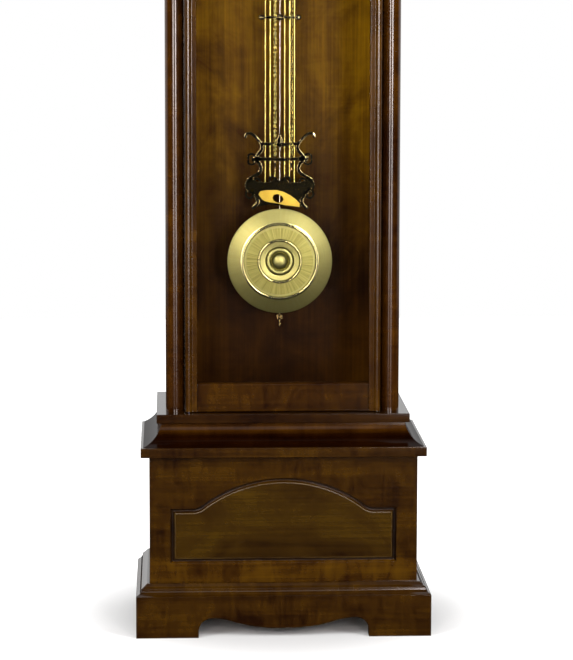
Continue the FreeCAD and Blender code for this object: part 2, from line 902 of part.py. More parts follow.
def cove_strips(head_z, foot_z, band):
    """The three strips; the front strip's depth is set by the sill, not by the trunk's face."""
    steps = cove_steps(head_z, foot_z, band)
    reach = float(ledge_half - trunk_half)
    setback = float(trunk_face) - float(sill_front) - float(sill_half - trunk_half)
    front_y = float(trunk_face) - setback
    strips = mitred_strips(lambda point: section_face(point, steps), trunk_half, front_y,
                           panel_front, reach)
    filler_low, filler_high = min(head_z, foot_z), max(head_z, foot_z)
    filler = Part.makeBox(2 * float(trunk_half), setback, filler_high - filler_low,
                          Vector(-float(trunk_half), front_y, filler_low))
    front_strip = strips["front"].fuse(filler).removeSplitter()
    return Part.makeCompound([front_strip, strips["left"], strips["right"]])


def make_waist_and_neck():
    waist = cove_strips(float(sill_bottom), float(cove_bottom), 0)
    node(feature("waist_cove", waist), "waist_cove")
    node(box("trunk_sill_board", (-sill_half, sill_front, sill_bottom),
             (sill_half, panel_front, sill_top)), "trunk_sill_board")
    neck = cove_strips(float(s.trunk_top), float(hood_floor_bottom), s.sill_thickness)
    node(feature("neck_cove", neck), "neck_cove")


make_waist_and_neck()


# Back panel: one plywood board, wide at the base and the hood and narrow at the trunk

def make_back_panel():
    outline = [(-base_half, s.base_bottom), (base_half, s.base_bottom), (base_half, cove_bottom),
               (trunk_half, cove_bottom), (trunk_half, hood_floor_bottom),
               (base_half, hood_floor_bottom), (base_half, hood_top_board_bottom),
               (-base_half, hood_top_board_bottom), (-base_half, hood_floor_bottom),
               (-trunk_half, hood_floor_bottom), (-trunk_half, cove_bottom), (-base_half, cove_bottom)]
    body = slab("back_panel", outline, panel_front, s.back_thickness)
    holes = sketch_on(body, "XZ_Plane", "wall_holes")
    for side in (-1, 1):
        draw_circle(holes, s.wall_hole_spacing / 2 * side, s.wall_hole_height, s.wall_hole_radius)
    pocket_through(body, holes)
    node(body, "back_panel")


make_back_panel()


# Trunk: front frame, side boards and half-round corner columns

def make_trunk():
    opening = rectangle(-trunk_half + s.frame_stile_width, sill_top + s.frame_bottom_rail,
                        trunk_half - s.frame_stile_width, s.trunk_top - s.frame_top_rail)
    outline = rectangle(-trunk_half, sill_top, trunk_half, hood_floor_bottom)
    node(slab("trunk_face_frame", outline, trunk_face, s.frame_thickness, [opening]),
         "trunk_face_frame")
    side_front = trunk_face + s.frame_thickness
    node(box("trunk_side_left", (-trunk_half, side_front, sill_top),
             (-trunk_half + s.trunk_board_thickness, panel_front, seat_bottom)), "trunk_side_left")
    node(box("trunk_side_right", (trunk_half - s.trunk_board_thickness, side_front, sill_top),
             (trunk_half, panel_front, seat_bottom)), "trunk_side_right")
    radius = s.column_width / 2
    for side, label in ((-1, "trunk_column_left"), (1, "trunk_column_right")):
        column = cylinder(label, radius, s.trunk_top - sill_top,
                          ((trunk_half - radius) * side, trunk_face, sill_top))
        column.Angle = 180
        column.Placement.Rotation = FreeCAD.Rotation(Vector(0, 0, 1), 180)
        node(column, label)


make_trunk()


# Trunk door: beaded stiles, two rails, a pane of glass and a turned knob

door_half = trunk_half - s.column_width - s.door_gap
door_low = sill_top + s.door_gap
door_high = s.trunk_top - s.door_gap
door_back = trunk_face - s.door_gap
pivot_y = door_back - s.door_body_depth
pivot_x = -door_half + s.door_bead_radius
stile_front = pivot_y - s.door_bead_radius + s.door_body_setback
glass_front = pivot_y - s.door_bead_radius + s.glass_setback + s.door_body_setback
opening_half = door_half - s.door_stile_width


def make_door_stile(side, label, pivots):
    edge = door_half * side
    inner = opening_half * side
    low_x, high_x = (edge, inner) if side < 0 else (inner, edge)
    blank = box(label + "_blank", (low_x, stile_front, door_low), (high_x, door_back, door_high))
    bead = cylinder(label + "_bead", s.door_bead_radius, door_high - door_low,
                    ((door_half - s.door_bead_radius) * side, pivot_y, door_low))
    solid = fuse(label + "_solid", [blank, bead])
    rebate_edge = (opening_half + s.glass_rebate) * side
    rebate_x = (rebate_edge, inner + s.overrun) if side < 0 else (inner - s.overrun, rebate_edge)
    rebate = box(label + "_rebate", (rebate_x[0], glass_front, door_low - s.overrun),
                 (rebate_x[1], door_back + s.overrun, door_high + s.overrun))
    waste = [rebate]
    if pivots:
        depth = s.pivot_length + s.pivot_end_room + s.overrun
        for name, z in (("low", door_low - s.overrun), ("high", door_high + s.overrun - depth)):
            waste.append(cylinder(f"{label}_{name}_bore", s.pivot_radius + s.running_clearance,
                                  depth, (pivot_x, pivot_y, z)))
    node(cut(label, solid, fuse(label + "_waste", waste)), label)


def make_door_rail(label, low, high, glass_side):
    """A rail with a bevelled edge and a rebate on the side of the glass."""
    rail_front = stile_front + s.door_rail_setback
    inner, outer = (high, low) if glass_side > 0 else (low, high)
    lip = inner - s.glass_rebate * glass_side
    body = start_body(label)
    sketch = sketch_on(body, "YZ_Plane", label + "_section")
    draw_outline(sketch, [(rail_front, outer), (door_back, outer), (door_back, lip),
                          (glass_front, lip), (glass_front, inner),
                          (rail_front + s.door_rail_bevel, inner),
                          (rail_front, inner - s.door_rail_bevel * glass_side)])
    pad(body, sketch, opening_half * 2)
    bind(body, "Placement.Base.x", -opening_half)
    node(body, label)


def knob_profile():
    """A turned knob: base washer, neck and rounded head, along its own axis."""
    head_share = 0.45
    cap_share = 0.5
    head_start = s.knob_length * head_share
    return [(ZERO, ZERO), (s.knob_base_radius, ZERO), (s.knob_base_radius, s.knob_base_length * cap_share),
            (s.knob_neck_radius, s.knob_base_length), (s.knob_neck_radius, head_start),
            (s.knob_radius, head_start + s.knob_base_length, s.knob_radius, 1),
            (s.knob_radius * cap_share, s.knob_length, s.knob_radius, 1), (ZERO, s.knob_length)]


def make_trunk_door():
    make_door_stile(-1, "trunk_door_stile_left", True)
    make_door_stile(1, "trunk_door_stile_right", False)
    make_door_rail("trunk_door_bottom_rail", door_low, door_low + s.door_bottom_rail_height, 1)
    make_door_rail("trunk_door_top_rail", door_high - s.door_top_rail_height, door_high, -1)
    reach = s.glass_rebate - s.glass_clearance
    glass_low = door_low + s.door_bottom_rail_height - reach
    glass_high = door_high - s.door_top_rail_height + reach
    node(box("trunk_glass", (-opening_half - reach, glass_front, glass_low),
             (opening_half + reach, glass_front + s.glass_thickness, glass_high)), "trunk_glass")
    flat = s.door_stile_width - s.door_bead_radius * 2
    knob_x = opening_half + flat / 2
    node(turned("trunk_door_knob", knob_profile(), (knob_x, stile_front, s.trunk_knob_height),
                FORWARD), "trunk_door_knob")


make_trunk_door()


# Hood: floor frame round the trunk, sides, door with an arched light, top board and pediment

hood_door_back = base_front + s.hood_door_thickness
hood_door_low = hood_floor_top + s.door_gap
hood_pivot_x = -base_half + s.hood_door_thickness / 2
hood_pivot_y = base_front + s.hood_door_thickness / 2


def arched_light(half, bottom, shoulder, radius):
    """An outline with square shoulders and a round arch in the middle."""
    return [(-half, bottom), (half, bottom), (half, shoulder), (radius, shoulder),
            (ZERO, shoulder + radius, radius, 1), (-radius, shoulder, radius, 1),
            (-half, shoulder)]


def make_hood_boards():
    body = start_body("hood_floor_frame")
    plan = sketch_on(body, "XY_Plane", "hood_floor_outline")
    draw_outline(plan, rectangle(-ledge_half, ledge_front, ledge_half, panel_front))
    pad(body, plan, s.ledge_board_thickness)
    opening = sketch_on(body, "XY_Plane", "hood_floor_opening")
    draw_outline(opening, rectangle(-trunk_half, trunk_face + s.frame_thickness, trunk_half,
                                    panel_front + s.overrun))
    pocket_through(body, opening)
    bind(body, "Placement.Base.z", hood_floor_bottom)
    node(body, "hood_floor_frame")
    side_front = hood_door_back + s.hood_side_gap
    left = box("hood_side_a", (-base_half, side_front, hood_floor_top),
               (-base_half + s.hood_board_thickness, panel_front, hood_top_board_bottom))
    right = box("hood_side_b", (base_half - s.hood_board_thickness, side_front, hood_floor_top),
                (base_half, panel_front, hood_top_board_bottom))
    node(group("hood_sides", [left, right]), "hood_sides")
    node(box("hood_top_board", (-base_half, hood_door_back, hood_top_board_bottom),
             (base_half, back, s.shoulder_height)), "hood_top_board")


def make_hood_door():
    """A framed door with bull-nosed upright edges, a rebated glass and pivot bores."""
    thick = s.hood_door_thickness
    radius = thick / 2
    low, high = hood_door_low, s.hood_door_top
    half = base_half - radius
    light = arched_light(s.hood_opening_half, s.hood_opening_bottom, s.hood_opening_shoulder,
                         s.hood_arch_radius)
    board = slab("hood_door_board", rectangle(-half, low, half, high), base_front, thick, [light])
    noses = [cylinder(f"hood_door_nose{number}", radius, high - low,
                      ((base_half - radius) * side, hood_pivot_y, low))
             for number, side in enumerate((-1, 1))]
    solid = fuse("hood_door_solid", [board] + noses)
    lip = s.glass_rebate
    glass_y = base_front + s.hood_glass_setback
    rebate = slab("hood_door_rebate",
                  arched_light(s.hood_opening_half + lip, s.hood_opening_bottom - lip,
                               s.hood_opening_shoulder + lip, s.hood_arch_radius + lip),
                  glass_y, s.hood_glass_setback + s.overrun)
    depth = s.pivot_length + s.pivot_end_room + s.overrun
    bores = [cylinder(f"hood_door_bore{number}", s.pivot_radius + s.running_clearance, depth,
                      (hood_pivot_x, hood_pivot_y, z))
             for number, z in enumerate((low - s.overrun, high + s.overrun - depth))]
    node(cut("hood_door_frame", solid, fuse("hood_door_waste", [rebate] + bores)), "hood_door_frame")
    reach = lip - s.glass_clearance
    node(slab("hood_glass",
              arched_light(s.hood_opening_half + reach, s.hood_opening_bottom - reach,
                           s.hood_opening_shoulder + reach, s.hood_arch_radius + reach),
              glass_y, s.hood_glass_depth), "hood_glass")
    knob_x = base_half - s.hood_knob_inset
    node(turned("hood_door_knob", knob_profile(), (knob_x, base_front, s.hood_knob_height),
                FORWARD), "hood_door_knob")


def make_pivot_pins():
    """Four pins with washers: at the foot and the head of each door."""
    pins = []
    washer = s.door_gap - s.seat_clearance
    places = [(pivot_x, pivot_y, sill_top, 1), (pivot_x, pivot_y, s.trunk_top, -1),
              (hood_pivot_x, hood_pivot_y, hood_floor_top, 1),
              (hood_pivot_x, hood_pivot_y, s.hood_door_top + s.door_gap, -1)]
    for number, (x, y, z, way) in enumerate(places):
        reach = s.pivot_length + s.door_gap
        foot = z if way > 0 else z - reach
        ring = z if way > 0 else z - washer
        pins.append(fuse(f"pivot_pin{number}",
                         [cylinder(f"pivot_shank{number}", s.pivot_radius, reach, (x, y, foot)),
                          cylinder(f"pivot_washer{number}", s.pivot_washer_radius, washer,
                                   (x, y, ring))]))
    node(group("door_pivot_pins", pins), "door_pivot_pins")


def cornice_section(point):
    """The cornice: a square lip over a hollow, with a flat foot against the case."""
    out = float(s.skirt_projection)
    top = float(s.shoulder_height)
    low = top - float(s.cornice_height)
    foot = float(s.cornice_foot)
    step = float(s.cornice_step)
    hollow_top = top - float(s.cornice_lip)
    hollow_low = low + step
    middle = arc_middle(Vector(foot, hollow_low, 0), Vector(out, hollow_top, 0), out - foot, -1)
    return section_face(point, [(0, low), (foot, low), (foot, hollow_low),
                                (middle.x, middle.y, out, hollow_top), (out, top), (0, top)])


def arched_cornice():
    """The cornice section carried along the arched top line of the pediment."""
    run = float(base_half) + float(s.skirt_projection) + float(s.overrun)
    rise = float(s.case_height - s.shoulder_height)
    edges = arched_path(run, 0, s.shoulder_height, s.cornice_arch_half, rise,
                        s.cornice_reverse_radius, base_front, False)
    spine = Part.Wire(edges)
    section = cornice_section(lambda offset, z: Vector(run, float(base_front) - offset, z))
    return spine.makePipeShell([section.OuterWire], True, False)


def make_pediment():
    half = base_half
    rise = float(s.case_height - s.shoulder_height)
    inset = float(s.cornice_lip) / 2
    edges = arched_path(half, 0, s.shoulder_height - inset, s.cornice_arch_half, rise,
                        s.cornice_reverse_radius, base_front, False)
    low = float(s.hood_door_top + s.door_gap)
    face = float(base_front)
    ends = [Vector(-float(half), face, float(s.shoulder_height) - inset),
            Vector(-float(half), face, low), Vector(float(half), face, low),
            Vector(float(half), face, float(s.shoulder_height) - inset)]
    edges += [Part.LineSegment(ends[i], ends[i + 1]).toShape() for i in range(3)]
    board = Part.Face(Part.Wire(Part.sortEdges(edges)[0]))
    node(feature("pediment_board", board.extrude(Vector(0, float(s.hood_door_thickness), 0))),
         "pediment_board")
    strips = mitred_strips(cornice_section, base_half, base_front, back, s.skirt_projection)
    out = float(s.skirt_projection)
    plan = [Vector(-float(half), face, 0), Vector(float(half), face, 0),
            Vector(float(half) + out, face - out, 0), Vector(-float(half) - out, face - out, 0)]
    tall = Vector(0, 0, float(s.case_height) + float(s.overrun))
    arch = arched_cornice().common(prism(plan, tall))
    node(feature("cornice_mouldings", Part.makeCompound([arch, strips["left"], strips["right"]])),
         "cornice_mouldings")


make_hood_boards()
make_hood_door()
make_pivot_pins()
make_pediment()


# Movement: two plates joined by pillars, a seat board under them and a dial in front

centre_z = s.dial_centre_height
front_inner = s.movement_front + s.plate_thickness
back_inner = front_inner + s.plate_gap
back_outer = back_inner + s.plate_thickness
gong_y = panel_front - s.gong_rod_setback
chain_y = front_inner + s.sprocket_plane
chain_top = centre_z - s.great_arbor_drop


def at(x, z):
    """A point of the movement from its offsets to the centre arbor."""
    return Vector(float(x), 0, float(centre_z) + float(z))


def meeting_point(first, first_reach, second, second_reach, side):
    """The point at given distances from two others; side picks one of the two solutions."""
    line = second - first
    along = (first_reach ** 2 - second_reach ** 2 + line.Length ** 2) / (2 * line.Length)
    across = math.sqrt(first_reach ** 2 - along ** 2)
    way = Vector(line).normalize()
    return first + way * along + Vector(-way.z, 0, way.x) * (across * side)


def mesh_distance(module, teeth, leaves):
    return float(module) * (teeth + leaves) / 2


CENTRE = at(0, 0)
TIME_GREAT = at(s.time_sprocket_x, -s.great_arbor_drop)
STRIKE_GREAT = at(s.strike_sprocket_x, -s.great_arbor_drop)
ESCAPE = at(0, s.escape_rise)
ANCHOR = at(0, s.suspension_rise)
INTERMEDIATE = meeting_point(TIME_GREAT, mesh_distance(s.great_module, GREAT_TEETH, GREAT_PINION_LEAVES),
                             CENTRE, mesh_distance(s.intermediate_module, INTERMEDIATE_TEETH,
                                                   CENTRE_LEAVES), -1)
THIRD = meeting_point(CENTRE, mesh_distance(s.centre_module, CENTRE_TEETH, THIRD_LEAVES),
                      ESCAPE, mesh_distance(s.third_module, THIRD_TEETH, ESCAPE_LEAVES), 1)
HAMMER = at(s.hammer_arbor_x, s.hammer_arbor_rise)
STRIKE_REACH = mesh_distance(s.great_module, GREAT_TEETH, GREAT_PINION_LEAVES)
PIN_WHEEL = meeting_point(STRIKE_GREAT, STRIKE_REACH, HAMMER, float(s.pin_wheel_reach), 1)
STUD_REACH = mesh_distance(s.motion_module, CANNON_LEAVES, MINUTE_TEETH)
STUD_ANGLE = math.radians(float(s.minute_wheel_angle))
STUD = CENTRE + Vector(math.cos(STUD_ANGLE), 0, math.sin(STUD_ANGLE)) * STUD_REACH
HOUR_MODULE = 2 * STUD_REACH / (MINUTE_LEAVES + HOUR_TEETH)


def rod(centre, radius, low_y, high_y):
    """A round rod along Y."""
    foot = Vector(centre.x, float(low_y), centre.z)
    return Part.makeCylinder(float(radius), float(high_y) - float(low_y), foot, Vector(0, 1, 0))


def bar(low, high):
    """A block between two corners given as numbers or sizes."""
    low = [float(value) for value in low]
    high = [float(value) for value in high]
    return Part.makeBox(high[0] - low[0], high[1] - low[1], high[2] - low[2], Vector(*low))


def joined(shapes):
    return shapes[0].multiFuse(shapes[1:]).removeSplitter()


def direction(first, second):
    """The angle, from +X towards +Z, at which the second point lies from the first."""
    return math.atan2(second.z - first.z, second.x - first.x)


def polar(centre, radius, angle, y=0.0):
    return Vector(centre.x + radius * math.cos(angle), y, centre.z + radius * math.sin(angle))


def flank(teeth, module):
    """One flank of an involute tooth as (radius, half angle) from its root to its tip."""
    pressure = math.radians(25)
    addendum_share, dedendum_share, play_share = 0.8, 1.08, 0.075
    pitch = teeth * module / 2
    base = pitch * math.cos(pressure)
    half = (math.pi / 2 - play_share) / teeth
    spread = half + math.tan(pressure) - pressure
    root = pitch - dedendum_share * module
    tip = pitch + addendum_share * module
    start = max(base, root)
    points = [(root, spread)] if root < base else []
    steps = 3
    for step in range(steps + 1):
        radius = start + (tip - start) * step / steps
        roll = math.acos(min(base / radius, 1))
        points.append((radius, spread - (math.tan(roll) - roll)))
    return points


def gear_wire(teeth, module, centre, tooth_angle):
    """The toothed outline with one tooth centred on the given angle."""
    side = flank(teeth, float(module))
    points = []
    for tooth in range(teeth):
        middle = tooth_angle + 2 * math.pi * tooth / teeth
        points += [polar(centre, radius, middle - half) for radius, half in side]
        points += [polar(centre, radius, middle + half) for radius, half in reversed(side)]
    return Part.makePolygon(points + [points[0]])


def window_wires(centre, hub, rim, arm_width, arms, turn):
    """Openings between the arms of a wheel."""
    wires = []
    for index in range(arms):
        low = turn + 2 * math.pi * index / arms
        high = low + 2 * math.pi / arms
        near = math.asin(arm_width / 2 / hub)
        far = math.asin(arm_width / 2 / rim)
        middle = (low + high) / 2
        corners = [polar(centre, hub, low + near), polar(centre, rim, low + far),
                   polar(centre, rim, high - far), polar(centre, hub, high - near)]
        edges = [Part.LineSegment(corners[0], corners[1]).toShape(),
                 Part.Arc(corners[1], polar(centre, rim, middle), corners[2]).toShape(),
                 Part.LineSegment(corners[2], corners[3]).toShape(),
                 Part.Arc(corners[3], polar(centre, hub, middle), corners[0]).toShape()]
        wires.append(Part.Wire(edges))
    return wires


def extruded(wires, low_y, thickness):
    face = Part.makeFace(wires, "Part::FaceMakerBullseye")
    solid = face.extrude(Vector(0, float(thickness), 0))
    solid.translate(Vector(0, float(low_y), 0))
    return solid


def wheel(teeth, module, centre, tooth_angle, low_y, thickness, arms=4):
    """A toothed wheel with open crossings."""
    root = float(module) * teeth / 2 - float(module)
    windows = window_wires(centre, float(s.wheel_hub_radius), root - float(s.wheel_rim),
                           float(s.wheel_arm_width), arms, tooth_angle)
    return extruded([gear_wire(teeth, module, centre, tooth_angle)] + windows, low_y, thickness)


def pinion(leaves, module, centre, space_angle, low_y, length):
    """A pinion that shows a space towards the given angle."""
    outline = gear_wire(leaves, module, centre, space_angle + math.pi / leaves)
    return extruded([outline], low_y, length)


def train_y(plane):
    """The Y of a plane counted from the front plate's inner face."""
    return front_inner + plane


def arbor(centre, radius=None, tail=None, nose=None):
    """A shaft with thinner pivots in both plates; tail and nose pass through a plate instead."""
    radius = radius or s.arbor_radius
    low = nose if nose is not None else front_inner + s.end_shake
    high = tail if tail is not None else back_inner - s.end_shake
    parts = [rod(centre, radius, low, high)]
    if nose is None:
        parts.append(rod(centre, s.pivot_pin_radius, s.movement_front, low))
    if tail is None:
        parts.append(rod(centre, s.pivot_pin_radius, high, back_outer))
    return parts


def sprocket_parts(centre):
    """Two flanges and a core that carry the chain between them."""
    low = chain_y - s.sprocket_width / 2
    high = chain_y + s.sprocket_width / 2
    core = s.sprocket_pitch_radius - s.chain_thickness / 2 - s.seat_clearance * 2
    rim = s.sprocket_pitch_radius + s.sprocket_rim
    return [rod(centre, core, low, high), rod(centre, rim, low, low + s.sprocket_flange),
            rod(centre, rim, high - s.sprocket_flange, high)]


def make_plates():
    bottom = s.seat_top
    top = bottom + s.plate_height
    small = float(s.pivot_pin_radius + s.running_clearance)
    both = [TIME_GREAT, STRIKE_GREAT, INTERMEDIATE, THIRD, ESCAPE, PIN_WHEEL]
    front_holes = [rod(point, small, s.movement_front - s.overrun, front_inner + s.overrun)
                   for point in both + [ANCHOR, HAMMER]]
    front_holes.append(rod(CENTRE, s.centre_arbor_radius + s.running_clearance,
                           s.movement_front - s.overrun, front_inner + s.overrun))
    blank = box("front_plate_blank", (-s.plate_half_width, s.movement_front, bottom),
                (s.plate_half_width, front_inner, top))
    holed = cut("front_plate_holed", blank, feature("front_pivot_holes", Part.makeCompound(front_holes)))
    stud = feature("minute_wheel_stud", rod(STUD, s.minute_stud_radius, s.movement_front - s.minute_wheel_lead
                                            - s.minute_wheel_thickness - s.minute_pinion_length
                                            - s.overrun, front_inner))
    node(fuse("front_plate", [holed, stud]), "front_plate")

    back_holes = [rod(point, small, back_inner - s.overrun, back_outer + s.overrun)
                  for point in both + [CENTRE]]
    back_holes.append(rod(ANCHOR, s.arbor_radius + s.running_clearance, back_inner - s.overrun,
                          back_outer + s.overrun))
    back_holes.append(rod(HAMMER, s.hammer_arbor_radius + s.running_clearance,
                          back_inner - s.overrun, back_outer + s.overrun))
    blank = box("back_plate_blank", (-s.plate_half_width, back_inner, bottom),
                (s.plate_half_width, back_outer, top))
    holed = cut("back_plate_holed", blank, feature("back_pivot_holes", Part.makeCompound(back_holes)))
    pillars = []
    for side in (-1, 1):
        for z in (bottom + s.pillar_inset_z, top - s.pillar_inset_z):
            foot = ((s.plate_half_width - s.pillar_inset_x) * side, front_inner, z)
            pillars.append(cylinder(f"pillar{len(pillars)}", s.pillar_radius,
                                    s.plate_gap + s.plate_thickness, foot, "y"))
    node(fuse("back_plate", [holed] + pillars + suspension_cock()), "back_plate")


def suspension_cock():
    """A shelf on the back plate with two ears and the pin from which the pendulum hangs."""
    low = centre_z + s.suspension_rise + s.cock_rise
    ear_start = s.pendulum_plane - s.cock_ear_gap / 2 - s.cock_ear_thickness
    ear_end = s.pendulum_plane + s.cock_ear_gap / 2
    last = ear_end + s.cock_ear_thickness
    parts = [box("cock_shelf", (-s.cock_half_width, back_outer, low),
                 (s.cock_half_width, last, low + s.cock_thickness))]
    for side in (-1, 1):
        inner = (s.cock_half_width - s.cock_foot_width) * side
        outer = s.cock_half_width * side
        low_x, high_x = (outer, inner) if side < 0 else (inner, outer)
        parts.append(box(f"cock_foot{len(parts)}", (low_x, back_outer, low - s.cock_foot_drop),
                         (high_x, back_outer + s.cock_thickness, low)))
    for y in (ear_start, ear_end):
        ear_low = centre_z + s.suspension_rise - s.cock_ear_drop
        parts.append(box(f"cock_ear{len(parts)}", (-s.cock_ear_half, y, ear_low),
                         (s.cock_ear_half, y + s.cock_ear_thickness, low)))
    parts.append(cylinder("cock_pin", s.suspension_pin_radius, last - ear_start,
                          (0, ear_start, centre_z + s.suspension_rise), "y"))
    return parts


def make_seat_board():
    blank = box("seat_board_blank", (-trunk_half, s.seat_front, seat_bottom),
                (trunk_half, s.seat_back, s.seat_top))
    slots = []
    for x in (s.time_sprocket_x, s.strike_sprocket_x):
        reach = s.sprocket_pitch_radius + s.seat_slot_end_room
        half = s.seat_slot_width / 2
        slots.append(box(f"seat_slot{len(slots)}", (x - reach, chain_y - half, seat_bottom - s.overrun),
                         (x + reach, chain_y + half, s.seat_top + s.overrun)))
    node(cut("seat_board", blank, fuse("seat_slots", slots)), "seat_board")


def make_dial():
    dial_back = s.movement_front - s.dial_setback
    dial_front = dial_back - s.dial_thickness
    plate = slab("dial_sheet", arched_light(s.dial_half_width, s.dial_bottom, s.dial_shoulder,
                                            s.dial_arch_radius), dial_front, s.dial_thickness)
    hole = sketch_on(plate, "XZ_Plane", "dial_hole")
    draw_circle(hole, 0, centre_z, s.dial_hole_radius)
    pocket_through(plate, hole)
    posts = []
    for side in (-1, 1):
        for rise in (-1, 1):
            foot = (s.dial_post_x * side, dial_back, centre_z + s.dial_post_drop * rise)
            posts.append(cylinder(f"dial_post{len(posts)}", s.dial_post_radius, s.dial_setback,
                                  foot, "y"))
    node(fuse("dial_plate", [plate] + posts), "dial_plate")
    ring = cylinder("chapter_ring_blank", s.chapter_outer_radius, s.chapter_thickness,
                    (0, dial_front - s.chapter_thickness, centre_z), "y")
    hole = cylinder("chapter_ring_hole", s.chapter_inner_radius, s.chapter_thickness + s.overrun * 2,
                    (0, dial_front - s.chapter_thickness - s.overrun, centre_z), "y")
    node(cut("chapter_ring", ring, hole), "chapter_ring")


make_plates()
make_seat_board()
make_dial()


# Going train, from the great wheel to the escape wheel, with its anchor

def make_going_train():
    great_angle = direction(TIME_GREAT, INTERMEDIATE)
    low = train_y(s.time_great_plane)
    great = wheel(GREAT_TEETH, s.great_module, TIME_GREAT, great_angle, low, s.wheel_thickness)
    node(feature("time_great_wheel", joined([great] + arbor(TIME_GREAT))), "time_great_wheel")

    parts = sprocket_parts(TIME_GREAT)
    bore = rod(TIME_GREAT, s.arbor_radius + s.running_clearance, chain_y - s.sprocket_width,
               chain_y + s.sprocket_width)
    node(feature("time_sprocket", joined(parts).cut(bore)), "time_sprocket")

    inner_angle = direction(INTERMEDIATE, CENTRE)
    leaves = pinion(GREAT_PINION_LEAVES, s.great_module, INTERMEDIATE, great_angle + math.pi,
                    low - s.great_pinion_lead, s.great_pinion_length)
    disc = wheel(INTERMEDIATE_TEETH, s.intermediate_module, INTERMEDIATE, inner_angle,
                 train_y(s.intermediate_wheel_plane), s.fine_wheel_thickness)
    node(feature("intermediate_wheel", joined([disc, leaves] + arbor(INTERMEDIATE))),
         "intermediate_wheel")

    third_angle = direction(CENTRE, THIRD)
    leaves = pinion(CENTRE_LEAVES, s.intermediate_module, CENTRE, inner_angle + math.pi,
                    train_y(s.centre_pinion_plane), s.centre_pinion_length)
    disc = wheel(CENTRE_TEETH, s.centre_module, CENTRE, third_angle, train_y(s.centre_wheel_plane),
                 s.fine_wheel_thickness)
    shaft = arbor(CENTRE, s.centre_arbor_radius, nose=s.movement_front - s.centre_arbor_tip)
    node(feature("centre_wheel", joined([disc, leaves] + shaft)), "centre_wheel")

    escape_angle = direction(THIRD, ESCAPE)
    leaves = pinion(THIRD_LEAVES, s.centre_module, THIRD, third_angle + math.pi,
                    train_y(s.third_pinion_plane), s.third_pinion_length)
    disc = wheel(THIRD_TEETH, s.third_module, THIRD, escape_angle, train_y(s.third_wheel_plane),
                 s.fine_wheel_thickness)
    node(feature("third_wheel", joined([disc, leaves] + arbor(THIRD))), "third_wheel")

    leaves = pinion(ESCAPE_LEAVES, s.third_module, ESCAPE, escape_angle + math.pi,
                    train_y(s.escape_pinion_plane), s.escape_pinion_length)
    node(feature("escape_wheel", joined([escape_disc(), leaves] + arbor(ESCAPE))), "escape_wheel")


def escape_disc():
    """A wheel with thirty raked, pointed teeth."""
    tip, root = float(s.escape_radius), float(s.escape_root_radius)
    pitch = 2 * math.pi / ESCAPE_TEETH
    rake_share, tip_share, heel_share = 0.3, 0.08, 0.8
    points = []
    for tooth in range(ESCAPE_TEETH):
        start = tooth * pitch
        points.append(polar(ESCAPE, root, start))
        points.append(polar(ESCAPE, tip, start + pitch * rake_share))
        points.append(polar(ESCAPE, tip, start + pitch * (rake_share + tip_share)))
        points.append(polar(ESCAPE, root, start + pitch * heel_share))
    outline = Part.makePolygon(points + [points[0]])
    hub_share, rim_share = 0.3, 0.8
    windows = window_wires(ESCAPE, root * hub_share, root * rim_share,
                           float(s.wheel_arm_width) / 2, 5, 0)
    return extruded([outline] + windows, train_y(s.escape_wheel_plane), s.escape_wheel_thickness)


def make_anchor():
    """An arched anchor over the escape wheel, its arbor and the crutch behind the back plate."""
    inner = float(s.escape_radius + s.pallet_clearance)
    outer = inner + float(s.anchor_arm_width)
    half = math.radians(float(s.anchor_half_angle))
    up = math.pi / 2
    edges = [Part.Arc(polar(ESCAPE, inner, up + half), polar(ESCAPE, inner, up),
                      polar(ESCAPE, inner, up - half)).toShape(),
             Part.LineSegment(polar(ESCAPE, inner, up - half), polar(ESCAPE, outer, up - half)).toShape(),
             Part.Arc(polar(ESCAPE, outer, up - half), polar(ESCAPE, outer, up),
                      polar(ESCAPE, outer, up + half)).toShape(),
             Part.LineSegment(polar(ESCAPE, outer, up + half), polar(ESCAPE, inner, up + half)).toShape()]
    low = train_y(s.escape_wheel_plane) - (s.anchor_thickness - s.escape_wheel_thickness) / 2
    bow = extruded([Part.Wire(edges)], low, s.anchor_thickness)
    hub = rod(ANCHOR, s.anchor_hub_radius, low, low + s.anchor_thickness)
    crutch_y = back_outer + s.crutch_gap
    crutch_end = crutch_y + s.crutch_thickness
    shaft = arbor(ANCHOR, tail=crutch_end)
    half_width = s.crutch_width / 2
    low_z = centre_z + s.suspension_rise - s.crutch_drop
    lever = bar((-half_width, crutch_y, low_z), (half_width, crutch_end, ANCHOR.z))
    inner_x = s.hanger_half_width + s.crutch_prong_gap
    outer_x = inner_x + s.crutch_prong_width
    yoke = bar((-outer_x, crutch_y, low_z), (outer_x, crutch_end, low_z + s.crutch_prong_height))
    prongs = [bar((x, crutch_y, low_z), (x + s.crutch_prong_width, crutch_end + s.crutch_prong_reach,
                                         low_z + s.crutch_prong_height))
              for x in (-outer_x, inner_x)]
    node(feature("anchor", joined([bow, hub, lever, yoke] + prongs + shaft)), "anchor")


make_going_train()
make_anchor()


# Strike train: great wheel with its sprocket, pin wheel, hammer and gong

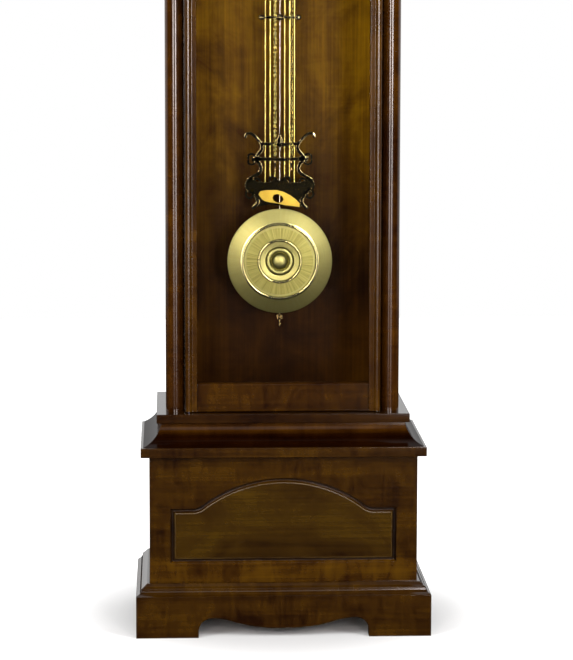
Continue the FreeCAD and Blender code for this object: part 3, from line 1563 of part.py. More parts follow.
def make_strike_train():
    angle = direction(STRIKE_GREAT, PIN_WHEEL)
    low = train_y(s.strike_great_plane)
    great = wheel(GREAT_TEETH, s.great_module, STRIKE_GREAT, angle, low, s.wheel_thickness)
    parts = [great] + sprocket_parts(STRIKE_GREAT) + arbor(STRIKE_GREAT)
    node(feature("strike_great_wheel", joined(parts)), "strike_great_wheel")

    leaves = pinion(GREAT_PINION_LEAVES, s.great_module, PIN_WHEEL, angle + math.pi,
                    low - s.great_pinion_lead, s.great_pinion_length)
    plane = train_y(s.pin_wheel_plane)
    disc = rod(PIN_WHEEL, s.pin_wheel_radius, plane, plane + s.escape_wheel_thickness)
    pins = []
    for index in range(LIFTING_PINS):
        point = polar(PIN_WHEEL, float(s.pin_circle_radius), 2 * math.pi * index / LIFTING_PINS)
        pins.append(rod(point, s.lifting_pin_radius, plane, plane + s.lifting_pin_length
                        + s.escape_wheel_thickness))
    node(feature("strike_pin_wheel", joined([disc, leaves] + pins + arbor(PIN_WHEEL))),
         "strike_pin_wheel")


def make_hammer():
    """A lifting tail, a long arbor that passes the back plate, an arm and a round head."""
    low = train_y(s.hammer_tail_plane)
    reach = (PIN_WHEEL - HAMMER).Length
    stop = reach - float(s.pin_circle_radius + s.lifting_pin_radius + s.hammer_tail_clearance)
    half = s.hammer_tail_width / 2
    tail = bar((0, low, -half), (stop, low + s.hammer_tail_width, half))
    tail.rotate(Vector(0, 0, 0), Vector(0, -1, 0), math.degrees(direction(HAMMER, PIN_WHEEL)))
    tail.translate(HAMMER)
    shaft = arbor(HAMMER, s.hammer_arbor_radius, tail=gong_y + s.hammer_arm_radius)
    drop = float(s.hammer_arm_drop)
    arm = Part.makeCylinder(float(s.hammer_arm_radius), drop,
                            Vector(HAMMER.x, float(gong_y), HAMMER.z - drop), Vector(0, 0, 1))
    head = Part.makeCylinder(float(s.hammer_head_radius), float(s.hammer_head_length),
                             Vector(HAMMER.x - float(s.hammer_head_length) / 2, float(gong_y),
                                    HAMMER.z - drop), Vector(1, 0, 0))
    node(feature("hammer", joined([tail, arm, head] + shaft)), "hammer")


def make_gong():
    low = s.gong_block_bottom
    block = box("gong_block", (s.gong_block_x - s.gong_block_half, panel_front - s.gong_block_depth, low),
                (s.gong_block_x + s.gong_block_half, panel_front, low + s.gong_block_height))
    rods = [cylinder(f"gong_rod{number}", s.gong_rod_radius, low - s.gong_rod_bottom + s.overrun,
                     (s.gong_block_x + s.gong_rod_gap / 2 * side, gong_y, s.gong_rod_bottom))
            for number, side in enumerate((-1, 1))]
    node(fuse("gong_rods", [block] + rods), "gong_rods")


make_strike_train()
make_hammer()
make_gong()


# Motion work and hands

def hand_outline(length, width, tail):
    """A hand that points to +Z: tail, waist, leaf and tip."""
    leaf_share, shoulder_share, neck_share = 0.55, 0.72, 0.28
    tail_share, waist_share = 0.5, 0.4
    half = width / 2
    neck = half * neck_share
    foot = half * tail_share
    waist = length * waist_share
    return [(-foot, -tail), (foot, -tail), (neck, 0.0), (neck, waist), (half, length * leaf_share),
            (neck, length * shoulder_share), (0.0, length), (-neck, length * shoulder_share),
            (-half, length * leaf_share), (-neck, waist), (-neck, 0.0)]


def hand_shape(length, angle, low_y):
    """A flat hand with a boss, turned clockwise to its angle."""
    tail = float(s.hand_tail_length) * float(length) / float(s.minute_hand_length)
    corners = [Vector(x, float(low_y), z)
               for x, z in hand_outline(float(length), float(s.hand_width), tail)]
    blade = prism(corners, Vector(0, float(s.hand_thickness), 0))
    boss = rod(Vector(0, 0, 0), s.hand_boss_radius, low_y, low_y + s.hand_thickness)
    shape = blade.fuse(boss)
    shape.rotate(Vector(0, 0, 0), Vector(0, 1, 0), float(angle))
    shape.translate(CENTRE)
    return shape


def make_motion_work():
    face = s.movement_front
    bore = s.centre_arbor_radius + s.running_clearance
    pipe = s.centre_arbor_radius + s.cannon_wall
    start = face - s.cannon_start
    end = start - s.cannon_length
    stud_angle = direction(CENTRE, STUD)
    leaves = pinion(CANNON_LEAVES, s.motion_module, CENTRE, stud_angle, start - s.cannon_gear_length,
                    s.cannon_gear_length)
    hand = hand_shape(s.minute_hand_length, s.minute_hand_angle, end)
    solid = joined([leaves, hand, rod(CENTRE, pipe, end, start)])
    hole = rod(CENTRE, bore, end - s.overrun, start + s.overrun)
    node(feature("minute_hand", solid.cut(hole)), "minute_hand")

    back_of_wheel = face - s.minute_wheel_lead
    front_of_wheel = back_of_wheel - s.minute_wheel_thickness
    disc = extruded([gear_wire(MINUTE_TEETH, s.motion_module, STUD, stud_angle + math.pi)],
                    front_of_wheel, s.minute_wheel_thickness)
    leaves = pinion(MINUTE_LEAVES, HOUR_MODULE, STUD, stud_angle + math.pi,
                    front_of_wheel - s.minute_pinion_length, s.minute_pinion_length)
    hole = rod(STUD, s.minute_stud_radius + s.running_clearance,
               front_of_wheel - s.minute_pinion_length - s.overrun, back_of_wheel + s.overrun)
    node(feature("minute_wheel", joined([disc, leaves]).cut(hole)), "minute_wheel")

    back_of_hour = face - s.hour_wheel_lead
    tip = back_of_hour - s.hour_pipe_length
    disc = extruded([gear_wire(HOUR_TEETH, HOUR_MODULE, CENTRE, stud_angle)],
                    back_of_hour - s.hour_wheel_thickness, s.hour_wheel_thickness)
    hand = hand_shape(s.hour_hand_length, s.hour_hand_angle, tip)
    sleeve = rod(CENTRE, pipe + s.running_clearance + s.hour_pipe_wall, tip, back_of_hour)
    hole = rod(CENTRE, pipe + s.running_clearance, tip - s.overrun, back_of_hour + s.overrun)
    node(feature("hour_hand", joined([disc, hand, sleeve]).cut(hole)), "hour_hand")


make_motion_work()


# Pendulum: suspension, seven rods with collars, lyre fret, turned bob and rating nut

swing_y = s.pendulum_plane
bob_z = centre_z + s.suspension_rise - s.pendulum_length
fret_back = swing_y - s.rod_radius - s.fret_gap
fret_front = fret_back - s.fret_thickness


def hanging(x, z):
    """A point of the pendulum from its offsets to the middle of the bob."""
    return (as_size(x), swing_y, bob_z + z)


def make_suspension():
    eye_z = centre_z + s.suspension_rise
    half = s.suspension_eye_length / 2
    eye = cylinder("suspension_eye", s.suspension_eye_radius, s.suspension_eye_length,
                   (0, swing_y - half, eye_z), "y")
    spring_low = eye_z - s.suspension_eye_radius - s.spring_length
    spring = box("suspension_spring", (-s.spring_half_width, swing_y - s.spring_thickness / 2, spring_low),
                 (s.spring_half_width, swing_y + s.spring_thickness / 2,
                  eye_z - s.suspension_eye_radius / 2))
    block = box("suspension_block", (-s.hanger_block_half, swing_y - s.hanger_thickness / 2,
                                     spring_low - s.hanger_block_height),
                (s.hanger_block_half, swing_y + s.hanger_thickness / 2, spring_low))
    solid = fuse("suspension_solid", [eye, spring, block])
    bore = cylinder("suspension_bore", s.suspension_pin_radius + s.running_clearance,
                    s.suspension_eye_length + s.overrun * 2,
                    (0, swing_y - half - s.overrun, eye_z), "y")
    node(cut("suspension_hook", solid, bore), "suspension_hook")


def rod_collar(name, height):
    """A bar across the rods with a rounded disc in the middle and a scroll at each end."""
    half_height = s.rod_collar_height / 2
    half_depth = s.rod_collar_depth / 2
    z = bob_z + height
    parts = [box(name, (-s.rod_collar_half, swing_y - half_depth, z - half_height),
                 (s.rod_collar_half, swing_y + half_depth, z + half_height)),
             cylinder(name + "_disc", s.rod_collar_disc, s.rod_collar_depth,
                      (0, swing_y - half_depth, z), "y")]
    for side in (-1, 1):
        parts.append(cylinder(f"{name}_scroll{len(parts)}", s.rod_collar_scroll + half_height,
                              s.rod_collar_depth, (s.rod_collar_half * side, swing_y - half_depth, z),
                              "y"))
    return parts


def make_rods():
    parts = []
    outer = (RODS - 1) / 2
    for index in range(RODS):
        x = s.rod_spacing * (index - outer)
        low = s.stud_top - s.overrun if index == outer else s.rod_foot
        parts.append(cylinder(f"rod{index}", s.rod_radius, s.rod_head - low, hanging(x, low)))
    parts += rod_collar("collar_low", s.rod_collar_low) + rod_collar("collar_high", s.rod_collar_high)
    half = s.rod_spacing * outer + s.rod_radius * 2
    head_low = bob_z + s.rod_head - s.overrun
    parts.append(box("rod_head", (-half, swing_y - s.rod_radius, head_low),
                     (half, swing_y + s.rod_radius, head_low + s.rod_head_height)))
    parts.append(box("rod_foot", (-half, swing_y - s.rod_radius, bob_z + s.rod_foot),
                     (half, swing_y + s.rod_radius, bob_z + s.rod_foot + s.rod_collar_height)))
    hanger_top = (centre_z + s.suspension_rise - s.suspension_eye_radius - s.spring_length
                  - s.hanger_block_height)
    parts.append(box("hanger_strip", (-s.hanger_half_width, swing_y - s.hanger_thickness / 2,
                                      head_low + s.rod_head_height / 2),
                     (s.hanger_half_width, swing_y + s.hanger_thickness / 2, hanger_top)))
    parts.append(cylinder("rating_stud", s.stud_radius, s.stud_top - s.stud_bottom,
                          hanging(0, s.stud_bottom)))
    node(fuse("pendulum_rods", parts), "pendulum_rods")


def curve_points(knots, steps=4):
    """Points of a smooth curve through the knots."""
    padded = [knots[0]] + list(knots) + [knots[-1]]
    points = []
    for index in range(1, len(padded) - 2):
        before, here, there, after = padded[index - 1:index + 3]
        for step in range(steps):
            t = step / steps
            points.append(tuple(
                0.5 * (2 * b + (c - a) * t + (2 * a - 5 * b + 4 * c - d) * t * t
                       + (3 * b - a - 3 * c + d) * t ** 3)
                for a, b, c, d in zip(before, here, there, after)))
    points.append(tuple(knots[-1]))
    return points


def ribbon(knots, width):
    """A flat band of even width along a smooth curve, in shares of the fret's half width."""
    unit = float(s.fret_half_width)
    half = unit * width / 2
    points = [Vector(unit * x, float(fret_front), unit * z) for x, z in curve_points(knots)]
    left, right = [], []
    for index, point in enumerate(points):
        ahead = points[min(index + 1, len(points) - 1)]
        behind = points[max(index - 1, 0)]
        way = (ahead - behind).normalize()
        across = Vector(-way.z, 0, way.x) * half
        left.append(point + across)
        right.append(point - across)
    thick = Vector(0, float(s.fret_thickness), 0)
    solid = prism(left + right[::-1], thick)
    ends = [Part.makeCylinder(half, thick.y, point, Vector(0, 1, 0)) for point in (points[0], points[-1])]
    return [solid] + ends


def mirrored(knots):
    return [(-x, z) for x, z in knots]


def make_fret():
    """The pierced lyre fret. Knots are shares of the half width, from the foot of the fret up."""
    unit = float(s.fret_half_width)
    thick = float(s.fret_thickness)
    stroke_shares = [
        # S-shaped arms from the wide plate up to a knot, and from the knot up to the scrolls
        ([(0.9, 0.86), (0.76, 0.95), (0.6, 1.04), (0.53, 1.16), (0.55, 1.28), (0.64, 1.4)], 0.1),
        ([(0.7, 1.48), (0.63, 1.57), (0.53, 1.68), (0.5, 1.8), (0.54, 1.92)], 0.1),
        ([(0.52, 1.87), (0.6, 1.98), (0.7, 2.09), (0.82, 2.17), (0.93, 2.16), (0.97, 2.07)], 0.08),
        # the knot and its curls
        ([(0.6, 1.45), (0.74, 1.45)], 0.2),
        ([(0.66, 1.5), (0.76, 1.59), (0.88, 1.56), (0.89, 1.46)], 0.06),
        ([(0.66, 1.4), (0.76, 1.3), (0.88, 1.33), (0.89, 1.42)], 0.06),
        # inner heart between the plate and the lower band
        ([(0.05, 0.84), (0.2, 0.95), (0.3, 0.88), (0.26, 0.78)], 0.07),
        ([(0.55, 0.8), (0.6, 0.9), (0.7, 0.88)], 0.07),
        # lower curls and legs
        ([(0.93, 0.56), (0.95, 0.43), (0.87, 0.35), (0.77, 0.38), (0.76, 0.46)], 0.07),
        ([(0.86, 0.6), (0.68, 0.42), (0.62, 0.22), (0.76, 0.06)], 0.1),
    ]
    pieces = []
    for knots, width in stroke_shares:
        pieces += ribbon(knots, width)
        pieces += ribbon(mirrored(knots), width)
    # two bands across and the finial post
    middle_shares = [
        ([(-0.68, 1.46), (0, 1.44), (0.68, 1.46)], 0.09),
        ([(-0.54, 1.88), (0, 1.86), (0.54, 1.88)], 0.09),
        ([(0, 1.84), (0, 2.02)], 0.17),
        ([(0, 1.9), (0, 2.14)], 0.08),
    ]
    for knots, width in middle_shares:
        pieces += ribbon(knots, width)
    right_shares = [(0, 0.12), (0.3, 0.17), (0.62, 0.1), (0.56, 0.26), (0.64, 0.42), (0.88, 0.5),
                    (0.98, 0.62), (0.99, 0.76), (0.93, 0.88), (0.82, 0.96), (0.73, 0.9), (0.66, 0.82),
                    (0.5, 0.8), (0.28, 0.79), (0.16, 0.9)]
    left_shares = mirrored(right_shares[1:])[::-1]
    plate_shares = right_shares + [(0, 0.84)] + left_shares
    oval_shares = [(-0.21, 0.36), (-0.16, 0.44), (-0.05, 0.46), (0.07, 0.4), (0.11, 0.3),
                   (0.04, 0.22), (-0.08, 0.22), (-0.18, 0.28)]
    corners = [Vector(unit * x, float(fret_front), unit * z) for x, z in plate_shares]
    pieces.append(prism(corners, Vector(0, thick, 0)))
    oval = prism([Vector(unit * x, float(fret_front - s.overrun), unit * z) for x, z in oval_shares],
                 Vector(0, thick + 2 * float(s.overrun), 0))
    solid = joined(pieces).cut(oval)
    solid.translate(Vector(0, 0, float(bob_z + s.fret_foot)))
    node(feature("lyre_fret", solid), "lyre_fret")


def bob_profile():
    """The bob's ringed face as (radius, height) corners, from its back to its front."""
    edge_share = 0.5
    bead_mid = (s.bob_shoulder_radius + s.bob_bead_radius) / 2
    ring_mid = (s.bob_ring_outer_radius + s.bob_ring_inner_radius) / 2
    dome_rise = s.bob_dome_height - s.bob_dish_height
    dome_radius = (s.bob_dish_radius * s.bob_dish_radius + dome_rise * dome_rise) / (dome_rise * 2)
    return [(ZERO, ZERO), (s.bob_radius, ZERO), (s.bob_radius, s.bob_rim_thickness * edge_share),
            (s.bob_shoulder_radius, s.bob_shoulder_height), (bead_mid, s.bob_bead_height),
            (s.bob_bead_radius, s.bob_shoulder_height), (s.bob_bead_radius, s.bob_groove_height),
            (s.bob_flat_radius, s.bob_groove_height), (s.bob_flat_radius, s.bob_flat_height),
            (s.bob_ring_outer_radius, s.bob_flat_height), (ring_mid, s.bob_ring_height),
            (s.bob_ring_inner_radius, s.bob_dish_height), (s.bob_dish_radius, s.bob_dish_height),
            (ZERO, s.bob_dome_height, dome_radius, 1)]


def make_bob():
    rim_back = swing_y - s.bob_rim_setback
    disc = turned("bob_disc", bob_profile(), (0, rim_back, bob_z), FORWARD)
    half = s.bob_block_half_width
    block = box("bob_block", (-half, rim_back, bob_z - s.bob_block_top),
                (half, swing_y + half / 2, bob_z + s.bob_block_top))
    bore = cylinder("bob_bore", s.stud_radius + s.running_clearance, s.bob_block_top * 2 + s.overrun * 2,
                    hanging(0, -s.bob_block_top - s.overrun))
    node(cut("pendulum_bob", fuse("bob_solid", [disc, block]), bore), "pendulum_bob")


def make_rating_nut():
    bore = s.stud_radius + s.running_clearance
    rim = s.nut_height / 2
    profile = [(bore, ZERO), (s.nut_radius, ZERO), (s.nut_radius, rim),
               (s.nut_waist_radius, s.nut_height - s.nut_cap_height),
               (s.nut_waist_radius, s.nut_height), (bore, s.nut_height)]
    top = bob_z - s.bob_radius - s.door_gap * 2
    node(turned("rating_nut", profile, (0, swing_y, top - s.nut_height)), "rating_nut")


make_suspension()
make_rods()
make_fret()
make_bob()
make_rating_nut()


# Weights, chains and the turns of chain that lie on the sprockets

def weight_profile():
    shell = s.weight_radius - s.weight_cap_lip
    top = s.weight_length
    cap = s.weight_cap_height
    return [(ZERO, -s.weight_finial_drop), (s.weight_finial_radius, -s.weight_finial_drop / 2),
            (s.weight_finial_radius, ZERO), (s.weight_radius, ZERO), (s.weight_radius, cap),
            (shell, cap), (shell, top - cap), (s.weight_radius, top - cap), (s.weight_radius, top),
            (s.weight_finial_radius, top), (s.weight_stem_radius, top + s.weight_stem_radius),
            (s.weight_stem_radius, top + s.weight_stem_height), (ZERO, top + s.weight_stem_height)]


def make_weight(label, x):
    body = turned(label + "_shell", weight_profile(), (x, chain_y, s.weight_bottom))
    ring = doc.addObject("Part::Torus", label + "_ring")
    bind(ring, "Radius1", s.weight_ring_radius)
    bind(ring, "Radius2", s.weight_ring_wire)
    ring.Placement.Rotation = FreeCAD.Rotation(Vector(1, 0, 0), 90)
    middle = s.weight_bottom + s.weight_length + s.weight_stem_height + s.weight_ring_radius
    move(ring, x, chain_y, middle)
    node(fuse(label, [body, ring]), label)
    return middle + s.weight_ring_radius + s.weight_ring_wire


def make_strand(label, x, low, hooked):
    """A straight strand of chain from a height up to the level of the sprocket's axis."""
    half_width = s.chain_width / 2
    half_thick = s.chain_thickness / 2
    strand = box(label + "_strand", (x - half_thick, chain_y - half_width, low),
                 (x + half_thick, chain_y + half_width, chain_top))
    if not hooked:
        return node(strand, label)
    hook = doc.addObject("Part::Cone", label + "_hook")
    bind(hook, "Radius1", s.free_hook_tip)
    bind(hook, "Radius2", half_width)
    bind(hook, "Height", s.free_hook_length)
    move(hook, x, chain_y, low - s.free_hook_length)
    return node(fuse(label, [strand, hook]), label)


def make_weights_and_chains():
    time_loaded = s.time_sprocket_x + s.sprocket_pitch_radius
    time_free = s.time_sprocket_x - s.sprocket_pitch_radius
    strike_loaded = s.strike_sprocket_x - s.sprocket_pitch_radius
    strike_free = s.strike_sprocket_x + s.sprocket_pitch_radius
    time_top = make_weight("time_weight", time_loaded)
    strike_top = make_weight("strike_weight", strike_loaded)
    make_strand("time_chain_loaded", time_loaded, time_top + s.seat_clearance, False)
    make_strand("strike_chain_loaded", strike_loaded, strike_top + s.seat_clearance, False)
    make_strand("time_chain_free", time_free, s.free_end_height, True)
    make_strand("strike_chain_free", strike_free, s.free_end_height, True)
    node(feature("chain_turns", chain_turns()), "chain_turns")


def chain_turns():
    """Half a turn of chain over each sprocket, just clear of the hanging strands."""
    turns = []
    inner = s.sprocket_pitch_radius - s.chain_thickness / 2
    outer = inner + s.chain_thickness
    half_width = s.chain_width / 2
    for centre in (TIME_GREAT, STRIKE_GREAT):
        ring = rod(centre, outer, chain_y - half_width, chain_y + half_width)
        ring = ring.cut(rod(centre, inner, chain_y - half_width, chain_y + half_width))
        reach = outer + s.overrun
        upper = bar((centre.x - float(reach), chain_y - s.chain_width, centre.z + float(s.seat_clearance)),
                    (centre.x + float(reach), chain_y + s.chain_width, centre.z + float(reach)))
        turns.append(ring.common(upper))
    return Part.makeCompound(turns)


make_weights_and_chains()


def check_objects():
    for item in doc.Objects:
        if "Invalid" in item.State or "Error" in item.State:
            raise RuntimeError(f"{item.Name} is in state {item.State}")


def export_nodes():
    os.makedirs("parts", exist_ok=True)
    for item in NODES:
        if item.Shape.isNull() or not item.Shape.isValid():
            raise RuntimeError(f"{item.Label} has no valid shape")
        item.Shape.exportStep(f"parts/{item.Label}.step")


doc.recompute()
check_objects()
export_nodes()
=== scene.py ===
import math

import bmesh
import bpy
from mathutils import Matrix, Vector


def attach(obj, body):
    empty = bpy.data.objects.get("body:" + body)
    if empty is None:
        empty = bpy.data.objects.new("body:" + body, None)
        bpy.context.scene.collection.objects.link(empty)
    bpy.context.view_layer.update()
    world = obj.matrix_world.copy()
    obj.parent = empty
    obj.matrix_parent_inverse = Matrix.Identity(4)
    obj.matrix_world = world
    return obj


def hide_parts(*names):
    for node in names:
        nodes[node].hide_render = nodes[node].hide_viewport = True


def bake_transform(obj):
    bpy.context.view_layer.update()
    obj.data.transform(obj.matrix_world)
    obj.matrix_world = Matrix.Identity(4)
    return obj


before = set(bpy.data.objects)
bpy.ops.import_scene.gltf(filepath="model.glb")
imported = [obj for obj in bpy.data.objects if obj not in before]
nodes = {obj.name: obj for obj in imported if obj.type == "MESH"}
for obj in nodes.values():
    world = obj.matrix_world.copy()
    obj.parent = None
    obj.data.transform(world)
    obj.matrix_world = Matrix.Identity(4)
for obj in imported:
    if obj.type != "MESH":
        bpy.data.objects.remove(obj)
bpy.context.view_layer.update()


# ---- Studio: camera, lamps, white surround and floor ----
# The clock stands on a white floor in front of a white wall. The room behind the camera is dark,
# so the lacquer shows only two tall strip lamps, and its level tops mirror the white wall.

camera_data = bpy.data.cameras.new("camera")
camera = bpy.data.objects.new("camera", camera_data)
bpy.context.collection.objects.link(camera)
bpy.context.scene.camera = camera
camera_data.lens = 143.117
camera_data.sensor_width = 36.0
camera_data.shift_y = -0.09
camera.location = (-0.1982, -4.661, 1.1819)
yaw, pitch, roll = (math.radians(a) for a in (2.557, 6.713, 0.096))
ahead = Vector((math.sin(yaw) * math.cos(pitch), math.cos(yaw) * math.cos(pitch), -math.sin(pitch)))
camera.rotation_mode = "QUATERNION"
camera.rotation_quaternion = ahead.to_track_quat("-Z", "Y") @ Matrix.Rotation(roll, 4, "Z").to_quaternion()
camera_data.clip_end = 50

scene = bpy.context.scene
scene.view_settings.view_transform = "Standard"


def softbox(name, place, aim, width, height, brightness, colour=(1, 1, 1)):
    """A rectangular lamp whose face has the given brightness."""
    data = bpy.data.lights.new(name, "AREA")
    data.shape = "RECTANGLE"
    data.size, data.size_y = width, height
    data.energy = brightness * math.pi * width * height
    data.color = colour
    lamp = bpy.data.objects.new(name, data)
    lamp.location = place
    lamp.rotation_mode = "QUATERNION"
    lamp.rotation_quaternion = (Vector(aim) - Vector(place)).to_track_quat("-Z", "Y")
    bpy.context.collection.objects.link(lamp)
    return lamp


def facing(azimuth, distance, height):
    """A place round the clock; azimuth in degrees to the right of straight ahead of its front."""
    turn = math.radians(azimuth)
    return (distance * math.sin(turn), -distance * math.cos(turn), height)


for low, high, share in ((0.8, 1.35, 1.0), (0.3, 0.8, 0.42), (-0.1, 0.3, 0.12)):
    middle = (low + high) / 2
    softbox("strip_left", facing(-14, 3.0, middle), (-0.19, -0.1, middle), 0.42, high - low, 27.0 * share,
            (1.0, 0.9, 0.85))
    softbox("strip_right", facing(14, 3.0, middle), (0.19, -0.1, middle), 0.42, high - low, 34.0 * share,
            (1.0, 0.92, 0.9))
key_left = softbox("key_left", facing(-46, 3.0, 1.9), (0, 0, 0.9), 0.9, 1.8, 17.0)
key_right = softbox("key_right", facing(47, 3.0, 1.9), (0, 0, 0.9), 0.9, 1.8, 19.0)
key_left.visible_glossy = key_right.visible_glossy = False
softbox("front_top", facing(0, 3.0, 2.0), (0, 0, 0.8), 0.9, 0.7, 1.5)


def new_material(name):
    """A node material stripped to its output, with its node tree."""
    material = bpy.data.materials.new(name)
    material.use_nodes = True
    tree = material.node_tree
    tree.nodes.clear()
    output = tree.nodes.new("ShaderNodeOutputMaterial")
    return material, tree, output


world = bpy.data.worlds.new("white_room")
scene.world = world
world.use_nodes = True
tree = world.node_tree
tree.nodes.clear()
output = tree.nodes.new("ShaderNodeOutputWorld")
path = tree.nodes.new("ShaderNodeLightPath")
ray = tree.nodes.new("ShaderNodeTexCoord")
split = tree.nodes.new("ShaderNodeSeparateXYZ")
tree.links.new(ray.outputs["Generated"], split.inputs[0])
behind = tree.nodes.new("ShaderNodeMapRange")
behind.inputs["From Min"].default_value = -0.15
behind.inputs["From Max"].default_value = 0.25
behind.inputs["To Min"].default_value = 0.004
behind.inputs["To Max"].default_value = 0.95
tree.links.new(split.outputs["Y"], behind.inputs["Value"])
diffuse_sky = tree.nodes.new("ShaderNodeBackground")
diffuse_sky.inputs["Color"].default_value = (1, 1, 1, 1)
diffuse_sky.inputs["Strength"].default_value = 0.3
seen_sky = tree.nodes.new("ShaderNodeBackground")
seen_sky.inputs["Color"].default_value = (1, 1, 1, 1)
seen_sky.inputs["Strength"].default_value = 1.0
mirror_sky = tree.nodes.new("ShaderNodeBackground")
mirror_sky.inputs["Color"].default_value = (1, 1, 1, 1)
tree.links.new(behind.outputs["Result"], mirror_sky.inputs["Strength"])
mirror_mix = tree.nodes.new("ShaderNodeMixShader")
seen_mix = tree.nodes.new("ShaderNodeMixShader")
direct = tree.nodes.new("ShaderNodeMath")
direct.operation = "MAXIMUM"
tree.links.new(path.outputs["Is Camera Ray"], direct.inputs[0])
tree.links.new(path.outputs["Is Transmission Ray"], direct.inputs[1])
tree.links.new(path.outputs["Is Glossy Ray"], mirror_mix.inputs["Fac"])
tree.links.new(diffuse_sky.outputs[0], mirror_mix.inputs[1])
tree.links.new(mirror_sky.outputs[0], mirror_mix.inputs[2])
tree.links.new(direct.outputs[0], seen_mix.inputs["Fac"])
tree.links.new(mirror_mix.outputs[0], seen_mix.inputs[1])
tree.links.new(seen_sky.outputs[0], seen_mix.inputs[2])
tree.links.new(seen_mix.outputs[0], output.inputs["Surface"])


def object_from(name, bm):
    """A mesh object from a bmesh, smooth except at its edges."""
    bmesh.ops.recalc_face_normals(bm, faces=bm.faces)
    data = bpy.data.meshes.new(name)
    bm.to_mesh(data)
    bm.free()
    for face in data.polygons:
        face.use_smooth = True
    data.set_sharp_from_angle(angle=math.radians(32))
    item = bpy.data.objects.new(name, data)
    bpy.context.collection.objects.link(item)
    return item


floor_mesh = bmesh.new()
for corner in ((-5, -5), (5, -5), (5, 4), (-5, 4)):
    floor_mesh.verts.new((corner[0], corner[1], 0))
floor_mesh.faces.new(floor_mesh.verts)
floor = object_from("floor", floor_mesh)
floor_paint, tree, output = new_material("floor_paint")
paint = tree.nodes.new("ShaderNodeBsdfDiffuse")
paint.inputs["Color"].default_value = (0.7, 0.7, 0.7, 1)
glow = tree.nodes.new("ShaderNodeEmission")
ground = tree.nodes.new("ShaderNodeTexCoord")
reach = tree.nodes.new("ShaderNodeVectorMath")
reach.operation = "LENGTH"
tree.links.new(ground.outputs["Object"], reach.inputs[0])
farther = tree.nodes.new("ShaderNodeMapRange")
farther.interpolation_type = "SMOOTHSTEP"
farther.inputs["From Min"].default_value = 0.16
farther.inputs["From Max"].default_value = 0.55
farther.inputs["To Min"].default_value = 0.0
farther.inputs["To Max"].default_value = 1.0
tree.links.new(reach.outputs["Value"], farther.inputs["Value"])
tree.links.new(farther.outputs["Result"], glow.inputs["Strength"])
dark = tree.nodes.new("ShaderNodeBsdfDiffuse")
dark.inputs["Color"].default_value = (0.02, 0.02, 0.02, 1)
path = tree.nodes.new("ShaderNodeLightPath")
lit = tree.nodes.new("ShaderNodeAddShader")
tree.links.new(paint.outputs[0], lit.inputs[0])
tree.links.new(glow.outputs[0], lit.inputs[1])
seen = tree.nodes.new("ShaderNodeMixShader")
tree.links.new(path.outputs["Is Camera Ray"], seen.inputs["Fac"])
tree.links.new(paint.outputs[0], seen.inputs[1])
tree.links.new(lit.outputs[0], seen.inputs[2])
mirrored_floor = tree.nodes.new("ShaderNodeMixShader")
tree.links.new(path.outputs["Is Glossy Ray"], mirrored_floor.inputs["Fac"])
tree.links.new(seen.outputs[0], mirrored_floor.inputs[1])
tree.links.new(dark.outputs[0], mirrored_floor.inputs[2])
tree.links.new(mirrored_floor.outputs[0], output.inputs["Surface"])
floor.data.materials.append(floor_paint)


# ---- Plinth: three skirts round the foot of the base ----
# Solid beech boards, 24 mm thick, stained walnut and lacquered to a high gloss. Each has an ogee
# along its top and a scalloped lower edge, and the three meet in mitres at the front corners.

mm = 0.001


def ramp(tree, stops):
    """A colour ramp from (position, colour) stops."""
    node = tree.nodes.new("ShaderNodeValToRGB")
    bar = node.color_ramp
    while len(bar.elements) < len(stops):
        bar.elements.new(0.5)
    for element, (position, colour) in zip(bar.elements, stops):
        element.position = position
        element.color = (*colour, 1)
    return node


def stretched_noise(tree, coordinates, scale, detail, roughness, distortion=0.0):
    """Noise whose size along each axis is set by the scale, in features per metre."""
    mapping = tree.nodes.new("ShaderNodeMapping")
    mapping.inputs["Scale"].default_value = scale
    tree.links.new(coordinates, mapping.inputs["Vector"])
    noise = tree.nodes.new("ShaderNodeTexNoise")
    noise.inputs["Scale"].default_value = 1.0
    noise.inputs["Detail"].default_value = detail
    noise.inputs["Roughness"].default_value = roughness
    noise.inputs["Distortion"].default_value = distortion
    tree.links.new(mapping.outputs[0], noise.inputs["Vector"])
    return noise


def mixed(tree, kind, factor, first, second):
    """Two colours mixed by a number or by a socket."""
    node = tree.nodes.new("ShaderNodeMix")
    node.data_type = "RGBA"
    node.blend_type = kind
    if isinstance(factor, float):
        node.inputs["Factor"].default_value = factor
    else:
        tree.links.new(factor, node.inputs["Factor"])
    tree.links.new(first, node.inputs["A"])
    if isinstance(second, tuple):
        node.inputs["B"].default_value = (*second, 1)
    else:
        tree.links.new(second, node.inputs["B"])
    return node.outputs["Result"]


